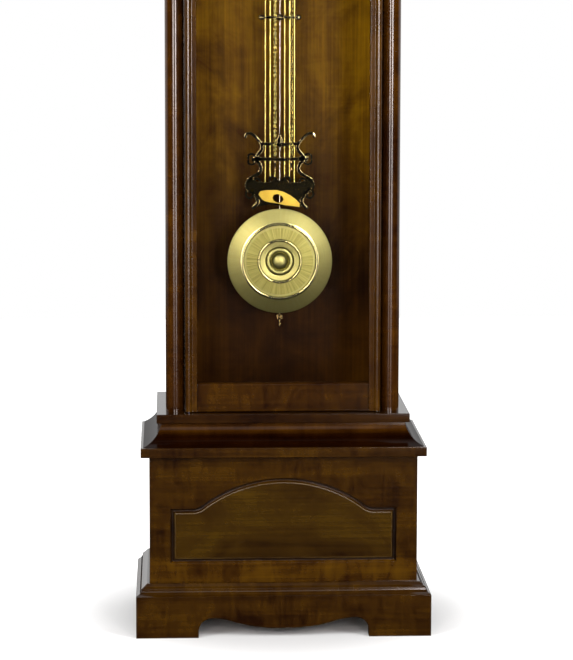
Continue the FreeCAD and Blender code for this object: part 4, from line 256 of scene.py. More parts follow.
def lacquered_wood(name, grain, tone, blotch=13.0, shift=0.0, gloss=0.12, coat=1.0, figure=1.0,
                   contrast=1.0, height_darkening=None):
    """Stained close-grained wood under clear lacquer; grain is the axis that it runs along.

    height_darkening is a pair of heights and a share: the colour is darkened by up to that share from the
    first height to the second. On the waist cove and the back board this is painted shade.
    """
    material, tree, output = new_material(name)
    body = tree.nodes.new("ShaderNodeBsdfPrincipled")
    place = tree.nodes.new("ShaderNodeTexCoord")
    moved = tree.nodes.new("ShaderNodeMapping")
    moved.inputs["Location"].default_value = (shift, shift * 1.7, shift * 2.3)
    tree.links.new(place.outputs["Object"], moved.inputs["Vector"])
    at = moved.outputs[0]

    def along(slow, fast):
        return tuple(slow if axis == grain else fast for axis in "xyz")

    def weighed(noise, weight, before=None):
        node = tree.nodes.new("ShaderNodeMath")
        node.operation = "MULTIPLY_ADD"
        tree.links.new(noise.outputs["Fac"], node.inputs[0])
        node.inputs[1].default_value = weight
        node.inputs[2].default_value = 0.0
        if before:
            tree.links.new(before.outputs[0], node.inputs[2])
        return node

    streak = stretched_noise(tree, at, along(4.0, 260.0), 5.0, 0.65, 0.1)
    band = stretched_noise(tree, at, along(2.2, 34.0), 4.0, 0.6, 0.5)
    cloud = stretched_noise(tree, at, along(blotch * 0.7, blotch), 4.0, 0.6, 1.1)
    curl = stretched_noise(tree, at, along(46.0, 11.0), 3.0, 0.55, 1.4)
    total = weighed(curl, 0.2 * figure, weighed(band, 0.34, weighed(cloud, 0.66 - 0.2 * figure)))
    spread = 0.125 / contrast
    stain = ramp(tree, [(0.5 - spread, tuple(c * k for c, k in zip(tone, (0.38, 0.27, 0.3)))),
                        (0.5, tone),
                        (0.5 + spread, tuple(c * k for c, k in zip(tone, (1.7, 1.9, 1.3))))])
    tree.links.new(total.outputs[0], stain.inputs["Fac"])
    fibre = ramp(tree, [(0.32, (0.66, 0.62, 0.6)), (0.6, (1.08, 1.08, 1.08))])
    tree.links.new(streak.outputs["Fac"], fibre.inputs["Fac"])
    colour = mixed(tree, "MULTIPLY", 0.8, stain.outputs["Color"], fibre.outputs["Color"])
    # Darkening by height: painted shade on the waist cove and the back board; on the base panel and the
    # pediment the colour is darker above 0.14 m.
    if height_darkening:
        split = tree.nodes.new("ShaderNodeSeparateXYZ")
        tree.links.new(place.outputs["Object"], split.inputs[0])
        depth = tree.nodes.new("ShaderNodeMapRange")
        depth.interpolation_type = "SMOOTHSTEP"
        depth.inputs["From Min"].default_value, depth.inputs["From Max"].default_value = height_darkening[:2]
        depth.inputs["To Max"].default_value = height_darkening[2]
        tree.links.new(split.outputs["Z"], depth.inputs["Value"])
        colour = mixed(tree, "MULTIPLY", depth.outputs["Result"], colour, (0.2, 0.13, 0.2))
    tree.links.new(colour, body.inputs["Base Color"])
    body.inputs["Roughness"].default_value = 0.55
    body.inputs["Specular IOR Level"].default_value = 0.0
    body.inputs["Coat Weight"].default_value = coat
    body.inputs["Coat Roughness"].default_value = gloss
    body.inputs["Coat IOR"].default_value = 1.5
    eased = tree.nodes.new("ShaderNodeBevel")
    eased.samples = 4
    eased.inputs["Radius"].default_value = 0.9 * mm
    pores = tree.nodes.new("ShaderNodeBump")
    pores.inputs["Strength"].default_value = 0.1
    pores.inputs["Distance"].default_value = 0.1 * mm
    tree.links.new(streak.outputs["Fac"], pores.inputs["Height"])
    tree.links.new(eased.outputs[0], pores.inputs["Normal"])
    tree.links.new(pores.outputs[0], body.inputs["Normal"])
    tree.links.new(eased.outputs[0], body.inputs["Coat Normal"])
    tree.links.new(body.outputs[0], output.inputs["Surface"])
    return material


skirt_wood = lacquered_wood("skirt_wood", "x", (0.021, 0.0078, 0.0005), shift=0.4, figure=1.3, contrast=1.1)
side_wood = lacquered_wood("side_wood", "y", (0.02, 0.0078, 0.0006), shift=3.1)


def round_edges(bm, width, segments=2, least=28):
    """Round every edge that turns by more than the least angle, in degrees."""
    bm.edges.ensure_lookup_table()
    sharp = [edge for edge in bm.edges
             if len(edge.link_faces) == 2 and edge.calc_face_angle(0) > math.radians(least)]
    bmesh.ops.bevel(bm, geom=sharp, offset=width, segments=segments, profile=0.5, affect="EDGES",
                    clamp_overlap=True)


def pushed(points, run):
    """A closed solid from flat corner points pushed along a vector."""
    bm = bmesh.new()
    low = [bm.verts.new(point) for point in points]
    high = [bm.verts.new(Vector(point) + Vector(run)) for point in points]
    bm.faces.new(low)
    bm.faces.new(high[::-1])
    for index in range(len(points)):
        after = (index + 1) % len(points)
        bm.faces.new((low[index], high[index], high[after], low[after]))
    bmesh.ops.recalc_face_normals(bm, faces=bm.faces)
    return bm


def trimmed(bm, point, outward):
    """Saw the solid flat at a plane and keep the side that the outward vector leaves."""
    geometry = bm.verts[:] + bm.edges[:] + bm.faces[:]
    cut = bmesh.ops.bisect_plane(bm, geom=geometry, plane_co=point, plane_no=outward,
                                 clear_outer=True)
    rim = [item for item in cut["geom_cut"] if isinstance(item, bmesh.types.BMEdge)]
    bmesh.ops.holes_fill(bm, edges=rim, sides=0)
    bmesh.ops.recalc_face_normals(bm, faces=bm.faces)


def finished(name, bm, material, body, replaced=()):
    """Turn the solid into a piece of the clock with its finish, body and CAD nodes."""
    item = object_from(name, bm)
    item.data.materials.append(material)
    flats = item.modifiers.new("flats", "WEIGHTED_NORMAL")
    flats.keep_sharp = True
    flats.weight = 80
    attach(item, body)
    if replaced:
        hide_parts(*replaced)
    return item


def joined(meshes):
    """One bmesh from several."""
    whole = bmesh.new()
    for part in meshes:
        data = bpy.data.meshes.new("part")
        part.to_mesh(data)
        part.free()
        whole.from_mesh(data)
        bpy.data.meshes.remove(data)
    return whole


def arc(centre, radius, start, end, steps):
    """Points of an arc in a plane, angles in degrees."""
    return [(centre[0] + radius * math.cos(math.radians(start + (end - start) * k / steps)),
             centre[1] + radius * math.sin(math.radians(start + (end - start) * k / steps)))
            for k in range(steps + 1)]


def through(first, middle, last, steps):
    """Points of the arc through three points."""
    (ax, ay), (bx, by), (cx, cy) = first, middle, last
    d = 2 * (ax * (by - cy) + bx * (cy - ay) + cx * (ay - by))
    ux = ((ax * ax + ay * ay) * (by - cy) + (bx * bx + by * by) * (cy - ay)
          + (cx * cx + cy * cy) * (ay - by)) / d
    uy = ((ax * ax + ay * ay) * (cx - bx) + (bx * bx + by * by) * (ax - cx)
          + (cx * cx + cy * cy) * (bx - ax)) / d
    radius = math.hypot(ax - ux, ay - uy)
    start = math.atan2(ay - uy, ax - ux)
    sweep = (math.atan2(cy - uy, cx - ux) - start) % (2 * math.pi)
    mid = (math.atan2(by - uy, bx - ux) - start) % (2 * math.pi)
    if mid > sweep:
        sweep -= 2 * math.pi
    return [(ux + radius * math.cos(start + sweep * k / steps),
             uy + radius * math.sin(start + sweep * k / steps)) for k in range(steps + 1)]


def scallop(half, radius=23.0, top=35.0, centre=17.0, flat=12.0):
    """Half of the lower edge as (along, height) in millimetres, from the foot to the middle."""
    run = half - radius - flat
    turn = 2 * math.atan((top - centre) / run)
    total = run / math.sin(turn)
    arch, crown = total * 0.32, half - radius
    sag = total - arch
    bend = (crown - arch * math.sin(turn), top - arch * (1 - math.cos(turn)))
    points = through((half, top - radius), (half - radius * 0.293, top - radius * 0.293),
                     (crown, top), 10)
    points += through((crown, top), (crown - arch * math.sin(turn / 2),
                                     top - arch * (1 - math.cos(turn / 2))), bend, 8)[1:]
    points += through(bend, (flat + sag * math.sin(turn / 2),
                             centre + sag * (1 - math.cos(turn / 2))), (flat, centre), 12)[1:]
    return points


skirt_top_rows = ([(24, 0.0), (24, 74.0), (22, 76.0)]
                  + through((22, 76), (17.1, 79.0), (15, 86), 6)[1:]
                  + through((15, 86), (7.8, 91.76), (5, 94), 6)[1:] + [(0, 94.0)])


def skirt(width_from, width_to, half_opening, middle):
    """A skirt lying along X with its back at y 0; the caller turns it into place."""
    edge = scallop(half_opening)
    lower = ([(width_from, 0.0), (middle - half_opening, 0.0)]
             + [(middle - x, z) for x, z in edge] + [(middle + x, z) for x, z in edge[::-1]]
             + [(middle + half_opening, 0.0), (width_to, 0.0)])
    board = lower + [(width_to, 74.0), (width_from, 74.0)]
    flat = pushed([Vector((x * mm, 0, z * mm)) for x, z in board], (0, -24 * mm, 0))
    profile = [(0, 74.0)] + [(o, z) for o, z in skirt_top_rows[1:]]
    cap = pushed([Vector((width_from * mm, -o * mm, z * mm)) for o, z in profile],
                 ((width_to - width_from) * mm, 0, 0))
    return joined([flat, cap])


front_skirt = skirt(-260, 260, 150, 0)
for way in (-1, 1):
    trimmed(front_skirt, Vector((way * 0.236, 0, 0)), Vector((way, 1, 0)).normalized())
bmesh.ops.translate(front_skirt, verts=front_skirt.verts, vec=(0, -0.126, 0))
round_edges(front_skirt, 0.7 * mm)
finished("front_skirt", front_skirt, skirt_wood, "case", ["plinth_front"])

side_skirts = []
for way in (-1, 1):
    part = skirt(-152, 152, 78, 0)
    turn = Matrix.Rotation(math.radians(90 * way), 4, "Z")
    bmesh.ops.transform(part, matrix=Matrix.Translation((way * 0.236, 0, 0)) @ turn, verts=part.verts)
    trimmed(part, Vector((way * 0.236, -0.126, 0)), Vector((-way, -1, 0)).normalized())
    trimmed(part, Vector((0, 0.15, 0)), Vector((0, 1, 0)))
    side_skirts.append(part)
side_skirts = joined(side_skirts)
round_edges(side_skirts, 0.7 * mm)
finished("side_skirts", side_skirts, side_wood, "case", ["plinth_sides"])


# ---- Base box: front panel, two sides and the board on top ----
# Veneered boards 18 mm thick. A cutter has run a V groove in the front panel, level along the foot
# and arched above, and the veneer inside it is a little paler. The top board overhangs by 15 mm.
# The groove's walls that face down or across carry painted shade, and its inner edge a painted highlight.

# Above 0.14 m, just over the groove's foot, the border is darker than along the strip below it.
panel_wood = lacquered_wood("panel_wood", "x", (0.034, 0.0132, 0.0004), shift=1.3, figure=1.3,
                            contrast=1.15, height_darkening=(0.128, 0.14, 0.5))
field_wood = lacquered_wood("field_wood", "x", (0.0235, 0.0105, 0.0006), blotch=9.0, shift=5.2, figure=0.4,
                            contrast=0.75)
# Painted shade: the groove's walls that face down or across take this dark tone.
groove_painted_shade = lacquered_wood("groove_painted_shade", "x", (0.009, 0.0032, 0.0003), shift=2.7, gloss=0.3)
# Painted highlight: a paler strip along the groove's inner edge.
arris_painted_highlight = lacquered_wood("arris_painted_highlight", "x", (0.034, 0.017, 0.002), shift=8.1, gloss=0.3)
upright_wood = lacquered_wood("upright_wood", "z", (0.021, 0.0082, 0.0006), shift=7.7)


def groove_height(x):
    """Height in millimetres of the arched line above the middle of the panel."""
    reach, shoulder, rise, reverse = 161.0, 222.5, 54.0, 32.0
    turn = 2 * math.atan(rise / reach)
    crown = reach / math.sin(turn) - reverse
    bend = reach - reverse * math.sin(turn)
    x = abs(x)
    if x >= reach:
        return shoulder
    if x >= bend:
        return shoulder + reverse - math.sqrt(reverse ** 2 - (reach - x) ** 2)
    return shoulder + rise - crown + math.sqrt(crown ** 2 - x ** 2)


def groove_line(inset):
    """The grooved outline moved inwards by an inset, as (x, z) in millimetres."""
    half, low = 195.5 - inset, 133.0 + inset
    across = [half - 2 * half * k / 96 for k in range(97)]
    slope = [(groove_height(x + 0.5) - groove_height(x - 0.5)) for x in across]
    upper = [(x, groove_height(x) - inset * math.sqrt(1 + min(abs(m), 0.8) ** 2))
             for x, m in zip(across, slope)]
    return [(-half, low), (half, low)] + upper


def base_front():
    """The panel's face: outer border, two walls of the groove and the field inside it."""
    bm = bmesh.new()
    y = -0.126
    rings = [[bm.verts.new((x * mm, y + depth * mm, z * mm)) for x, z in groove_line(inset)]
             for inset, depth in ((-4.0, 0.0), (-0.5, 3.4), (0.5, 3.4), (3.6, 0.5), (5.4, 0.0))]
    count = len(rings[0])
    # Slot 2 is the groove's painted shade and slot 3 the painted highlight along its inner edge.
    for outer, inner, tint in zip(rings, rings[1:], (2, 2, 2, 3)):
        for index in range(count):
            after = (index + 1) % count
            wall = bm.faces.new((outer[index], outer[after], inner[after], inner[index]))
            wall.material_index = tint
    field = bm.faces.new(rings[4])
    field.material_index = 1
    corners = [bm.verts.new((x, y, z)) for x, z in ((-0.236, 0.045), (0.236, 0.045),
                                                    (0.236, 0.32), (-0.236, 0.32))]
    top = rings[0][2:]
    bm.faces.new((corners[0], corners[1], rings[0][1], rings[0][0]))
    bm.faces.new((corners[1], corners[2], top[0], rings[0][1]))
    bm.faces.new([corners[2], corners[3]] + top[::-1])
    bm.faces.new((corners[3], corners[0], rings[0][0], top[-1]))
    rear = [bm.verts.new(vertex.co + Vector((0, 0.018, 0))) for vertex in corners]
    for index in range(4):
        after = (index + 1) % 4
        bm.faces.new((corners[index], rear[index], rear[after], corners[after]))
    bm.faces.new(rear)
    return bm


panel = finished("base_front", base_front(), panel_wood, "case", ["base_front_panel"])
for extra in (field_wood, groove_painted_shade, arris_painted_highlight):
    panel.data.materials.append(extra)
# Groove walls that face upwards go back to the panel's colour, so the painted shade stays on the walls that
# face down or across.
for face in panel.data.polygons:
    if face.material_index == 2 and face.normal.z > 0.25:
        face.material_index = 0


def board(low, high, ease=0.8):
    """A plain board between two corners in millimetres, with eased edges."""
    (x0, y0, z0), (x1, y1, z1) = low, high
    bm = pushed([Vector((x0, y0, z0)) * mm, Vector((x1, y0, z0)) * mm, Vector((x1, y1, z0)) * mm,
                 Vector((x0, y1, z0)) * mm], (0, 0, (z1 - z0) * mm))
    round_edges(bm, ease * mm)
    return bm


base_sides = joined([board((-236, -108, 45), (-218, 138, 320)), board((218, -108, 45), (236, 138, 320))])
finished("base_side_boards", base_sides, side_wood, "case", ["base_sides"])
finished("base_top", board((-251, -141, 320), (251, 138, 337), 1.0), skirt_wood, "case",
         ["base_top_board"])


# ---- Waist and neck: hollow mouldings and the sill board ----
# Machined beech mouldings, mitred at the front corners. The waist cove leads from the wide base up
# to the sill on which the trunk stands, and the neck cove is the same piece turned over.

# The waist cove's lower part, below 0.368 m where the hollow turns upwards, is painted much darker: painted
# shade.
cove_wood = lacquered_wood("cove_wood", "x", (0.028, 0.0092, 0.0004), blotch=12.0, shift=9.4, coat=0.3,
                           height_darkening=(0.368, 0.352, 1.0))


def moulding(rows, half, face, rear=138.0):
    """A mitred moulding round front and sides, from (offset, height) rows in millimetres."""
    bm = bmesh.new()
    stations = [(-1, 0, rear), (-1, -1, face), (1, -1, face), (1, 0, rear)]
    loops = []
    for way, depth, y in stations:
        loops.append([bm.verts.new(((way * (half + o)) * mm, (y + depth * o) * mm, z * mm))
                      for o, z in rows])
    for here, there in zip(loops, loops[1:]):
        for index in range(len(rows)):
            after = (index + 1) % len(rows)
            bm.faces.new((here[index], here[after], there[after], there[index]))
    bm.faces.new(loops[0])
    bm.faces.new(loops[-1][::-1])
    bmesh.ops.recalc_face_normals(bm, faces=bm.faces)
    return bm


hollow = through((8.5, 376.0), (18.2, 353.0), (40.5, 337.0), 14)
waist_rows = [(-14.0, 337.0), (-14.0, 376.0)] + hollow
waist = moulding(waist_rows, 206.5, -95.5)
round_edges(waist, 0.4 * mm, 1)
finished("waist_hollow", waist, cove_wood, "case", ["waist_cove"])
sill_wood = lacquered_wood("sill_wood", "x", (0.013, 0.0042, 0.0004), shift=11.8)
finished("sill", board((-223, -113, 376), (223, 138, 392), 1.2), sill_wood, "case",
         ["trunk_sill_board"])
neck_rows = [(-14.0, 1345.0), (16.5, 1345.0), (16.5, 1361.0)]
neck_rows += [(o, 1361 + (376 - z)) for o, z in hollow] + [(-14.0, 1400.0)]
neck = moulding(neck_rows, 206.5, -95.5)
round_edges(neck, 0.6 * mm, 1)
finished("neck_hollow", neck, cove_wood, "case", ["neck_cove"])


# ---- Back panel ----
# One plywood board with a straight-grained veneer, wide at the base and the hood and narrow behind
# the trunk. Two holes near the top take the screws that hold the clock to a wall.

# The veneer is painted darker towards the bottom, from 1.06 m down to 0.55 m: painted shade.
back_wood = lacquered_wood("back_wood", "z", (0.13, 0.058, 0.0006), blotch=11.0, shift=2.2, gloss=0.35,
                           coat=0.08, figure=0.6, contrast=0.8, height_darkening=(1.06, 0.55, 0.95))


def wall_board():
    """The stepped outline with its two screw holes, pushed to 12 mm."""
    outline = [(-236, 45), (236, 45), (236, 337), (206.5, 337), (206.5, 1400), (236, 1400),
               (236, 2000), (-236, 2000), (-236, 1400), (-206.5, 1400), (-206.5, 337), (-236, 337)]
    bm = bmesh.new()
    loops = [outline] + [arc((x, 1850), 3.0, 0, 345, 23) for x in (-160, 160)]
    edges = []
    for loop in loops:
        ring = [bm.verts.new((x * mm, 0.138, z * mm)) for x, z in loop]
        edges += [bm.edges.new((ring[k], ring[(k + 1) % len(ring)])) for k in range(len(ring))]
    bmesh.ops.triangle_fill(bm, use_beauty=True, use_dissolve=False, edges=edges)
    pushed_out = bmesh.ops.extrude_face_region(bm, geom=bm.faces[:])
    moved = [item for item in pushed_out["geom"] if isinstance(item, bmesh.types.BMVert)]
    bmesh.ops.translate(bm, verts=moved, vec=(0, 0.012, 0))
    return bm


finished("wall_board", wall_board(), back_wood, "case", ["back_panel"])


# ---- Trunk: two sides, half-round corner columns and the frame that the door closes on ----
# Veneered side boards 16 mm thick with solid columns glued on their front corners. Behind the door
# a flat frame of dark boards edges the opening.

column_wood = lacquered_wood("column_wood", "z", (0.03, 0.0095, 0.0004), shift=6.1, gloss=0.16)
frame_wood = lacquered_wood("frame_wood", "z", (0.015, 0.006, 0.0005), shift=8.3, gloss=0.2)

for side, way in (("left", -1), ("right", 1)):
    low_x, high_x = sorted((way * 206.5, way * 190.5))
    finished("trunk_side_board_" + side, board((low_x, -53.5, 392), (high_x, 138, 1508)),
             upright_wood, "case", ["trunk_side_" + side])
    half_round = arc((way * 190, -69.5), 16.5, 180, 360, 48)
    column = pushed([Vector((x, y, 392)) * mm for x, y in half_round], (0, 0, 0.953))
    finished("corner_column_" + side, column, column_wood, "case",
             ["trunk_column_" + side])


def framed(low, high, opening_low, opening_high, y_front, y_back, ease=0.8):
    """Four boards round an opening: full stiles, with rails between them. Sizes in millimetres."""
    (x0, z0), (x1, z1) = low, high
    (a0, c0), (a1, c1) = opening_low, opening_high
    return joined([board((x0, y_front, z0), (a0, y_back, z1), ease),
                   board((a1, y_front, z0), (x1, y_back, z1), ease),
                   board((a0, y_front, z0), (a1, y_back, c0), ease),
                   board((a0, y_front, c1), (a1, y_back, z1), ease)])


finished("trunk_frame", framed((-206.5, 392), (206.5, 1400), (-161.5, 432), (161.5, 1309), -69.5,
                               -53.5), frame_wood, "case", ["trunk_face_frame"])


# ---- Trunk door: two beaded stiles, two rails, glass and a small turned knob ----
# Slim stiles run to the full height, with a bead rounded on each outer front edge; the figured
# rails are mitred back slightly at their inner edge. The glass lies in a rebate behind.

stile_wood = lacquered_wood("stile_wood", "z", (0.03, 0.0108, 0.0004), shift=4.4, gloss=0.14)
rail_wood = lacquered_wood("rail_wood", "x", (0.023, 0.0078, 0.0003), blotch=17.0, shift=10.2, figure=1.3,
                           contrast=1.2)


def stile(way):
    """Stile section in plan: flat inner part, quirk, then the bead on the outer edge."""
    bead = arc((166, -92), 6, 205, 360, 20)
    section = [(151.5, -71), (151.5, -93.4), (152.1, -94)] + [(159.6, -94)] + bead + [(172, -71)]
    section = [(way * x, y) for x, y in section]
    return pushed([Vector((x, y, 393.5)) * mm for x, y in section], (0, 0, 0.95))


for side, way in (("left", -1), ("right", 1)):
    finished("door_stile_" + side, stile(way), stile_wood, "trunk_door",
             ["trunk_door_stile_" + side])


def rail(low, high, inner_at_top):
    """A rail between the stiles, with a small bevel along its inner edge."""
    section = [(-71, low), (-91, low), (-91, high), (-71, high)]
    if inner_at_top:
        section[2:3] = [(-91, high - 2.5), (-88.5, high)]
    else:
        section[1:2] = [(-88.5, low), (-91, low + 2.5)]
    bm = pushed([Vector((-151.5, y, z)) * mm for y, z in section], (0.303, 0, 0))
    round_edges(bm, 0.5 * mm)
    return bm


finished("door_rail_bottom", rail(393.5, 444, True), rail_wood, "trunk_door",
         ["trunk_door_bottom_rail"])
finished("door_rail_top", rail(1281.5, 1343.5, False), rail_wood, "trunk_door",
         ["trunk_door_top_rail"])

clear_glass, tree, output = new_material("clear_glass")
surface = tree.nodes.new("ShaderNodeBsdfPrincipled")
surface.inputs["Base Color"].default_value = (0.42, 0.43, 0.42, 1)
surface.inputs["Metallic"].default_value = 1.0
surface.inputs["Roughness"].default_value = 0.02
bounce = tree.nodes.new("ShaderNodeFresnel")
bounce.inputs["IOR"].default_value = 1.48
side = tree.nodes.new("ShaderNodeNewGeometry")
outside = tree.nodes.new("ShaderNodeMath")
outside.operation = "SUBTRACT"
outside.inputs[0].default_value = 1.0
tree.links.new(side.outputs["Backfacing"], outside.inputs[1])
cover = tree.nodes.new("ShaderNodeMath")
cover.operation = "MULTIPLY"
tree.links.new(bounce.outputs[0], cover.inputs[0])
tree.links.new(outside.outputs[0], cover.inputs[1])
tree.links.new(cover.outputs[0], surface.inputs["Alpha"])
tree.links.new(surface.outputs[0], output.inputs["Surface"])


def door_glass():
    bm = board((-157, -80, 438.5), (157, -77, 1287), 0.4)
    return bm


finished("door_glass", door_glass(), clear_glass, "trunk_door", ["trunk_glass"])


def brushed_brass(name, colour, rough, streaks, polar=False, darker=0.75, bump=0.15):
    """Lacquered brass with fine streaks; streaks is the noise scale along each axis."""
    material, tree, output = new_material(name)
    body = tree.nodes.new("ShaderNodeBsdfPrincipled")
    place = tree.nodes.new("ShaderNodeTexCoord")
    fine = stretched_noise(tree, place.outputs["Object"], streaks, 4.0, 0.6)
    tarnish = stretched_noise(tree, place.outputs["Object"], (9.0, 9.0, 9.0), 3.0, 0.55, 0.4)
    shade = ramp(tree, [(0.3, tuple(c * darker for c in colour)), (0.7, colour)])
    tree.links.new(tarnish.outputs["Fac"], shade.inputs["Fac"])
    fleck = ramp(tree, [(0.25, (0.8, 0.8, 0.8)), (0.75, (1.0, 1.0, 1.0))])
    tree.links.new(fine.outputs["Fac"], fleck.inputs["Fac"])
    tree.links.new(mixed(tree, "MULTIPLY", 0.8, shade.outputs["Color"], fleck.outputs["Color"]),
                   body.inputs["Base Color"])
    body.inputs["Metallic"].default_value = 1.0
    spread = tree.nodes.new("ShaderNodeMapRange")
    spread.inputs["To Min"].default_value = rough * 0.8
    spread.inputs["To Max"].default_value = rough * 1.25
    tree.links.new(fine.outputs["Fac"], spread.inputs["Value"])
    tree.links.new(spread.outputs["Result"], body.inputs["Roughness"])
    eased = tree.nodes.new("ShaderNodeBevel")
    eased.samples = 4
    eased.inputs["Radius"].default_value = 0.35 * mm
    scratch = tree.nodes.new("ShaderNodeBump")
    scratch.inputs["Strength"].default_value = bump
    scratch.inputs["Distance"].default_value = 0.05 * mm
    tree.links.new(fine.outputs["Fac"], scratch.inputs["Height"])
    tree.links.new(eased.outputs[0], scratch.inputs["Normal"])
    tree.links.new(scratch.outputs[0], body.inputs["Normal"])
    tree.links.new(body.outputs[0], output.inputs["Surface"])
    return material


turned_brass = brushed_brass("turned_brass", (0.9, 0.66, 0.27), 0.16, (900.0, 60.0, 900.0))


def lathe(rows, steps=96):
    """A closed turned solid about Z from (radius, height) rows; radius 0 closes an end."""
    bm = bmesh.new()
    rings = []
    for radius, height in rows:
        if radius == 0:
            rings.append([bm.verts.new((0, 0, height))])
        else:
            rings.append([bm.verts.new((radius * math.cos(2 * math.pi * k / steps),
                                        radius * math.sin(2 * math.pi * k / steps), height))
                          for k in range(steps)])
    for low, high in zip(rings, rings[1:]):
        for k in range(steps):
            after = (k + 1) % steps
            if len(low) == 1:
                bm.faces.new((low[0], high[k], high[after]))
            elif len(high) == 1:
                bm.faces.new((low[k], low[after], high[0]))
            else:
                bm.faces.new((low[k], low[after], high[after], high[k]))
    for ring, turn in ((rings[0], -1), (rings[-1], 1)):
        if len(ring) > 1:
            bm.faces.new(ring[::turn])
    bmesh.ops.recalc_face_normals(bm, faces=bm.faces)
    return bm


def knob(place):
    """A mushroom knob with a base ring and a waist, pointing to the front."""
    rows = [(3.9, 0.0), (3.9, 2.2), (3.3, 3.0), (2.6, 4.2), (2.5, 6.5), (3.4, 8.2)]
    rows += [(7.9 * math.cos(math.radians(a)), 12.2 + 5.8 * math.sin(math.radians(a)))
             for a in range(-40, 90, 10)] + [(0, 18.0)]
    bm = lathe([(r * mm, h * mm) for r, h in rows], 48)
    turn = Matrix.Translation(Vector(place) * mm) @ Matrix.Rotation(math.radians(90), 4, "X")
    bmesh.ops.transform(bm, matrix=turn, verts=bm.verts)
    return bm


finished("door_knob", knob((155.75, -94, 1182)), turned_brass, "trunk_door",
         ["trunk_door_knob"])


# ---- Hood case: floor ring, sides and top ----
# The upper part is out of the photograph and follows the trunk: a board ring that overhangs the
# neck, two sides and a top, all in the same veneer.

finished("hood_floor", joined([board((-251, -141, 1400), (251, -60, 1417), 1.0),
                               board((-251, -60, 1400), (-206.5, 138, 1417), 1.0),
                               board((206.5, -60, 1400), (251, 138, 1417), 1.0)]),
         skirt_wood, "case", ["hood_floor_frame"])
finished("hood_side_boards", joined([board((-236, -107.5, 1417), (-220, 138, 2000)),
                                     board((220, -107.5, 1417), (236, 138, 2000))]),
         upright_wood, "case", ["hood_sides"])
finished("hood_top", board((-236, -108, 2000), (236, 150, 2016)), skirt_wood, "case",
         ["hood_top_board"])


# ---- Hood door: arched frame, glass and knob ----
# An 18 mm frame with rounded upright edges round an arched light; the glass lies in a rebate
# behind. It hangs on two brass pins at its left.

door_wood = lacquered_wood("door_wood", "z", (0.02, 0.0078, 0.0006), shift=12.7)


def arched_window(half, low, shoulder, radius, steps=40):
    """A window outline with square shoulders under an arch, as (x, z) in millimetres."""
    return ([(-half, low), (half, low), (half, shoulder)]
            + arc((0, shoulder), radius, 0, 180, steps) + [(-half, shoulder)])


def plate_with_hole(outer, inner, y_front, y_back):
    """A flat plate in the XZ plane between two outlines in millimetres."""
    bm = bmesh.new()
    edges = []
    for loop in (outer, inner):
        ring = [bm.verts.new((x * mm, y_front * mm, z * mm)) for x, z in loop]
        edges += [bm.edges.new((ring[k], ring[(k + 1) % len(ring)])) for k in range(len(ring))]
    bmesh.ops.triangle_fill(bm, use_beauty=True, use_dissolve=False, edges=edges)
    grown = bmesh.ops.extrude_face_region(bm, geom=bm.faces[:])
    moved = [item for item in grown["geom"] if isinstance(item, bmesh.types.BMVert)]
    bmesh.ops.translate(bm, verts=moved, vec=(0, (y_back - y_front) * mm, 0))
    bmesh.ops.recalc_face_normals(bm, faces=bm.faces)
    return bm


def hood_frame():
    """The frame cut from one board, and the rounded strips along its upright edges."""
    outer = [(-227, 1418.5), (227, 1418.5), (227, 1928.5), (-227, 1928.5)]
    parts = [plate_with_hole(outer, arched_window(155, 1450, 1770, 110), -126, -108)]
    for way in (-1, 1):
        round_part = arc((way * 227, -117), 9, -90, 90, 24) if way == 1 else arc(
            (-227, -117), 9, 90, 270, 24)
        parts.append(pushed([Vector((x, y, 1418.5)) * mm for x, y in round_part], (0, 0, 0.51)))
    return joined(parts)


finished("hood_door_board", hood_frame(), door_wood, "hood_door", ["hood_door_frame"])
pane_outline = arched_window(160.5, 1444.5, 1775.5, 115.5)
pane = pushed([Vector((x, -117, z)) * mm for x, z in pane_outline], (0, 0.003, 0))
finished("hood_pane", pane, clear_glass, "hood_door", ["hood_glass"])
finished("hood_door_pull", knob((210, -126, 1640)), turned_brass, "hood_door",
         ["hood_door_knob"])


# ---- Pediment board and cornice ----
# The arched board over the hood door carries a hollow cornice along its top, which returns along
# both sides and meets the front in mitres.

def arched_top(half, shoulder, arch_half, rise, reverse, steps=28):
    """The top line from right to left as (x, z) in millimetres: flat, reverse curve, arch."""
    turn = 2 * math.atan(rise / arch_half)
    crown = arch_half / math.sin(turn) - reverse
    bend_x = arch_half - reverse * math.sin(turn)
    points = [(half, shoulder)]
    points += [(arch_half - reverse * math.sin(turn * k / 8),
                shoulder + reverse * (1 - math.cos(turn * k / 8))) for k in range(9)]
    centre = shoulder + rise - crown
    points += [(crown * math.sin(turn * (1 - 2 * k / steps)),
                centre + crown * math.cos(turn * (1 - 2 * k / steps))) for k in range(1, steps)]
    points += [(-x, z) for x, z in points[9:0:-1]]
    return points + [(-half, shoulder)]


crest = arched_top(236, 2012, 196, 84, 44)
pediment = pushed([Vector((x, -126, z)) * mm for x, z in [(-236, 1930), (236, 1930)] + crest],
                  (0, 0.018, 0))
round_edges(pediment, 0.6 * mm, 1)
finished("pediment", pediment, panel_wood, "case", ["pediment_board"])

cornice_rows = ([(0, -34.0), (8, -34.0), (8, -26.0)]
                + through((8, -26.0), (12.7, -12.7), (24, -8.0), 8)[1:] + [(24, 0.0), (0, 0.0)])


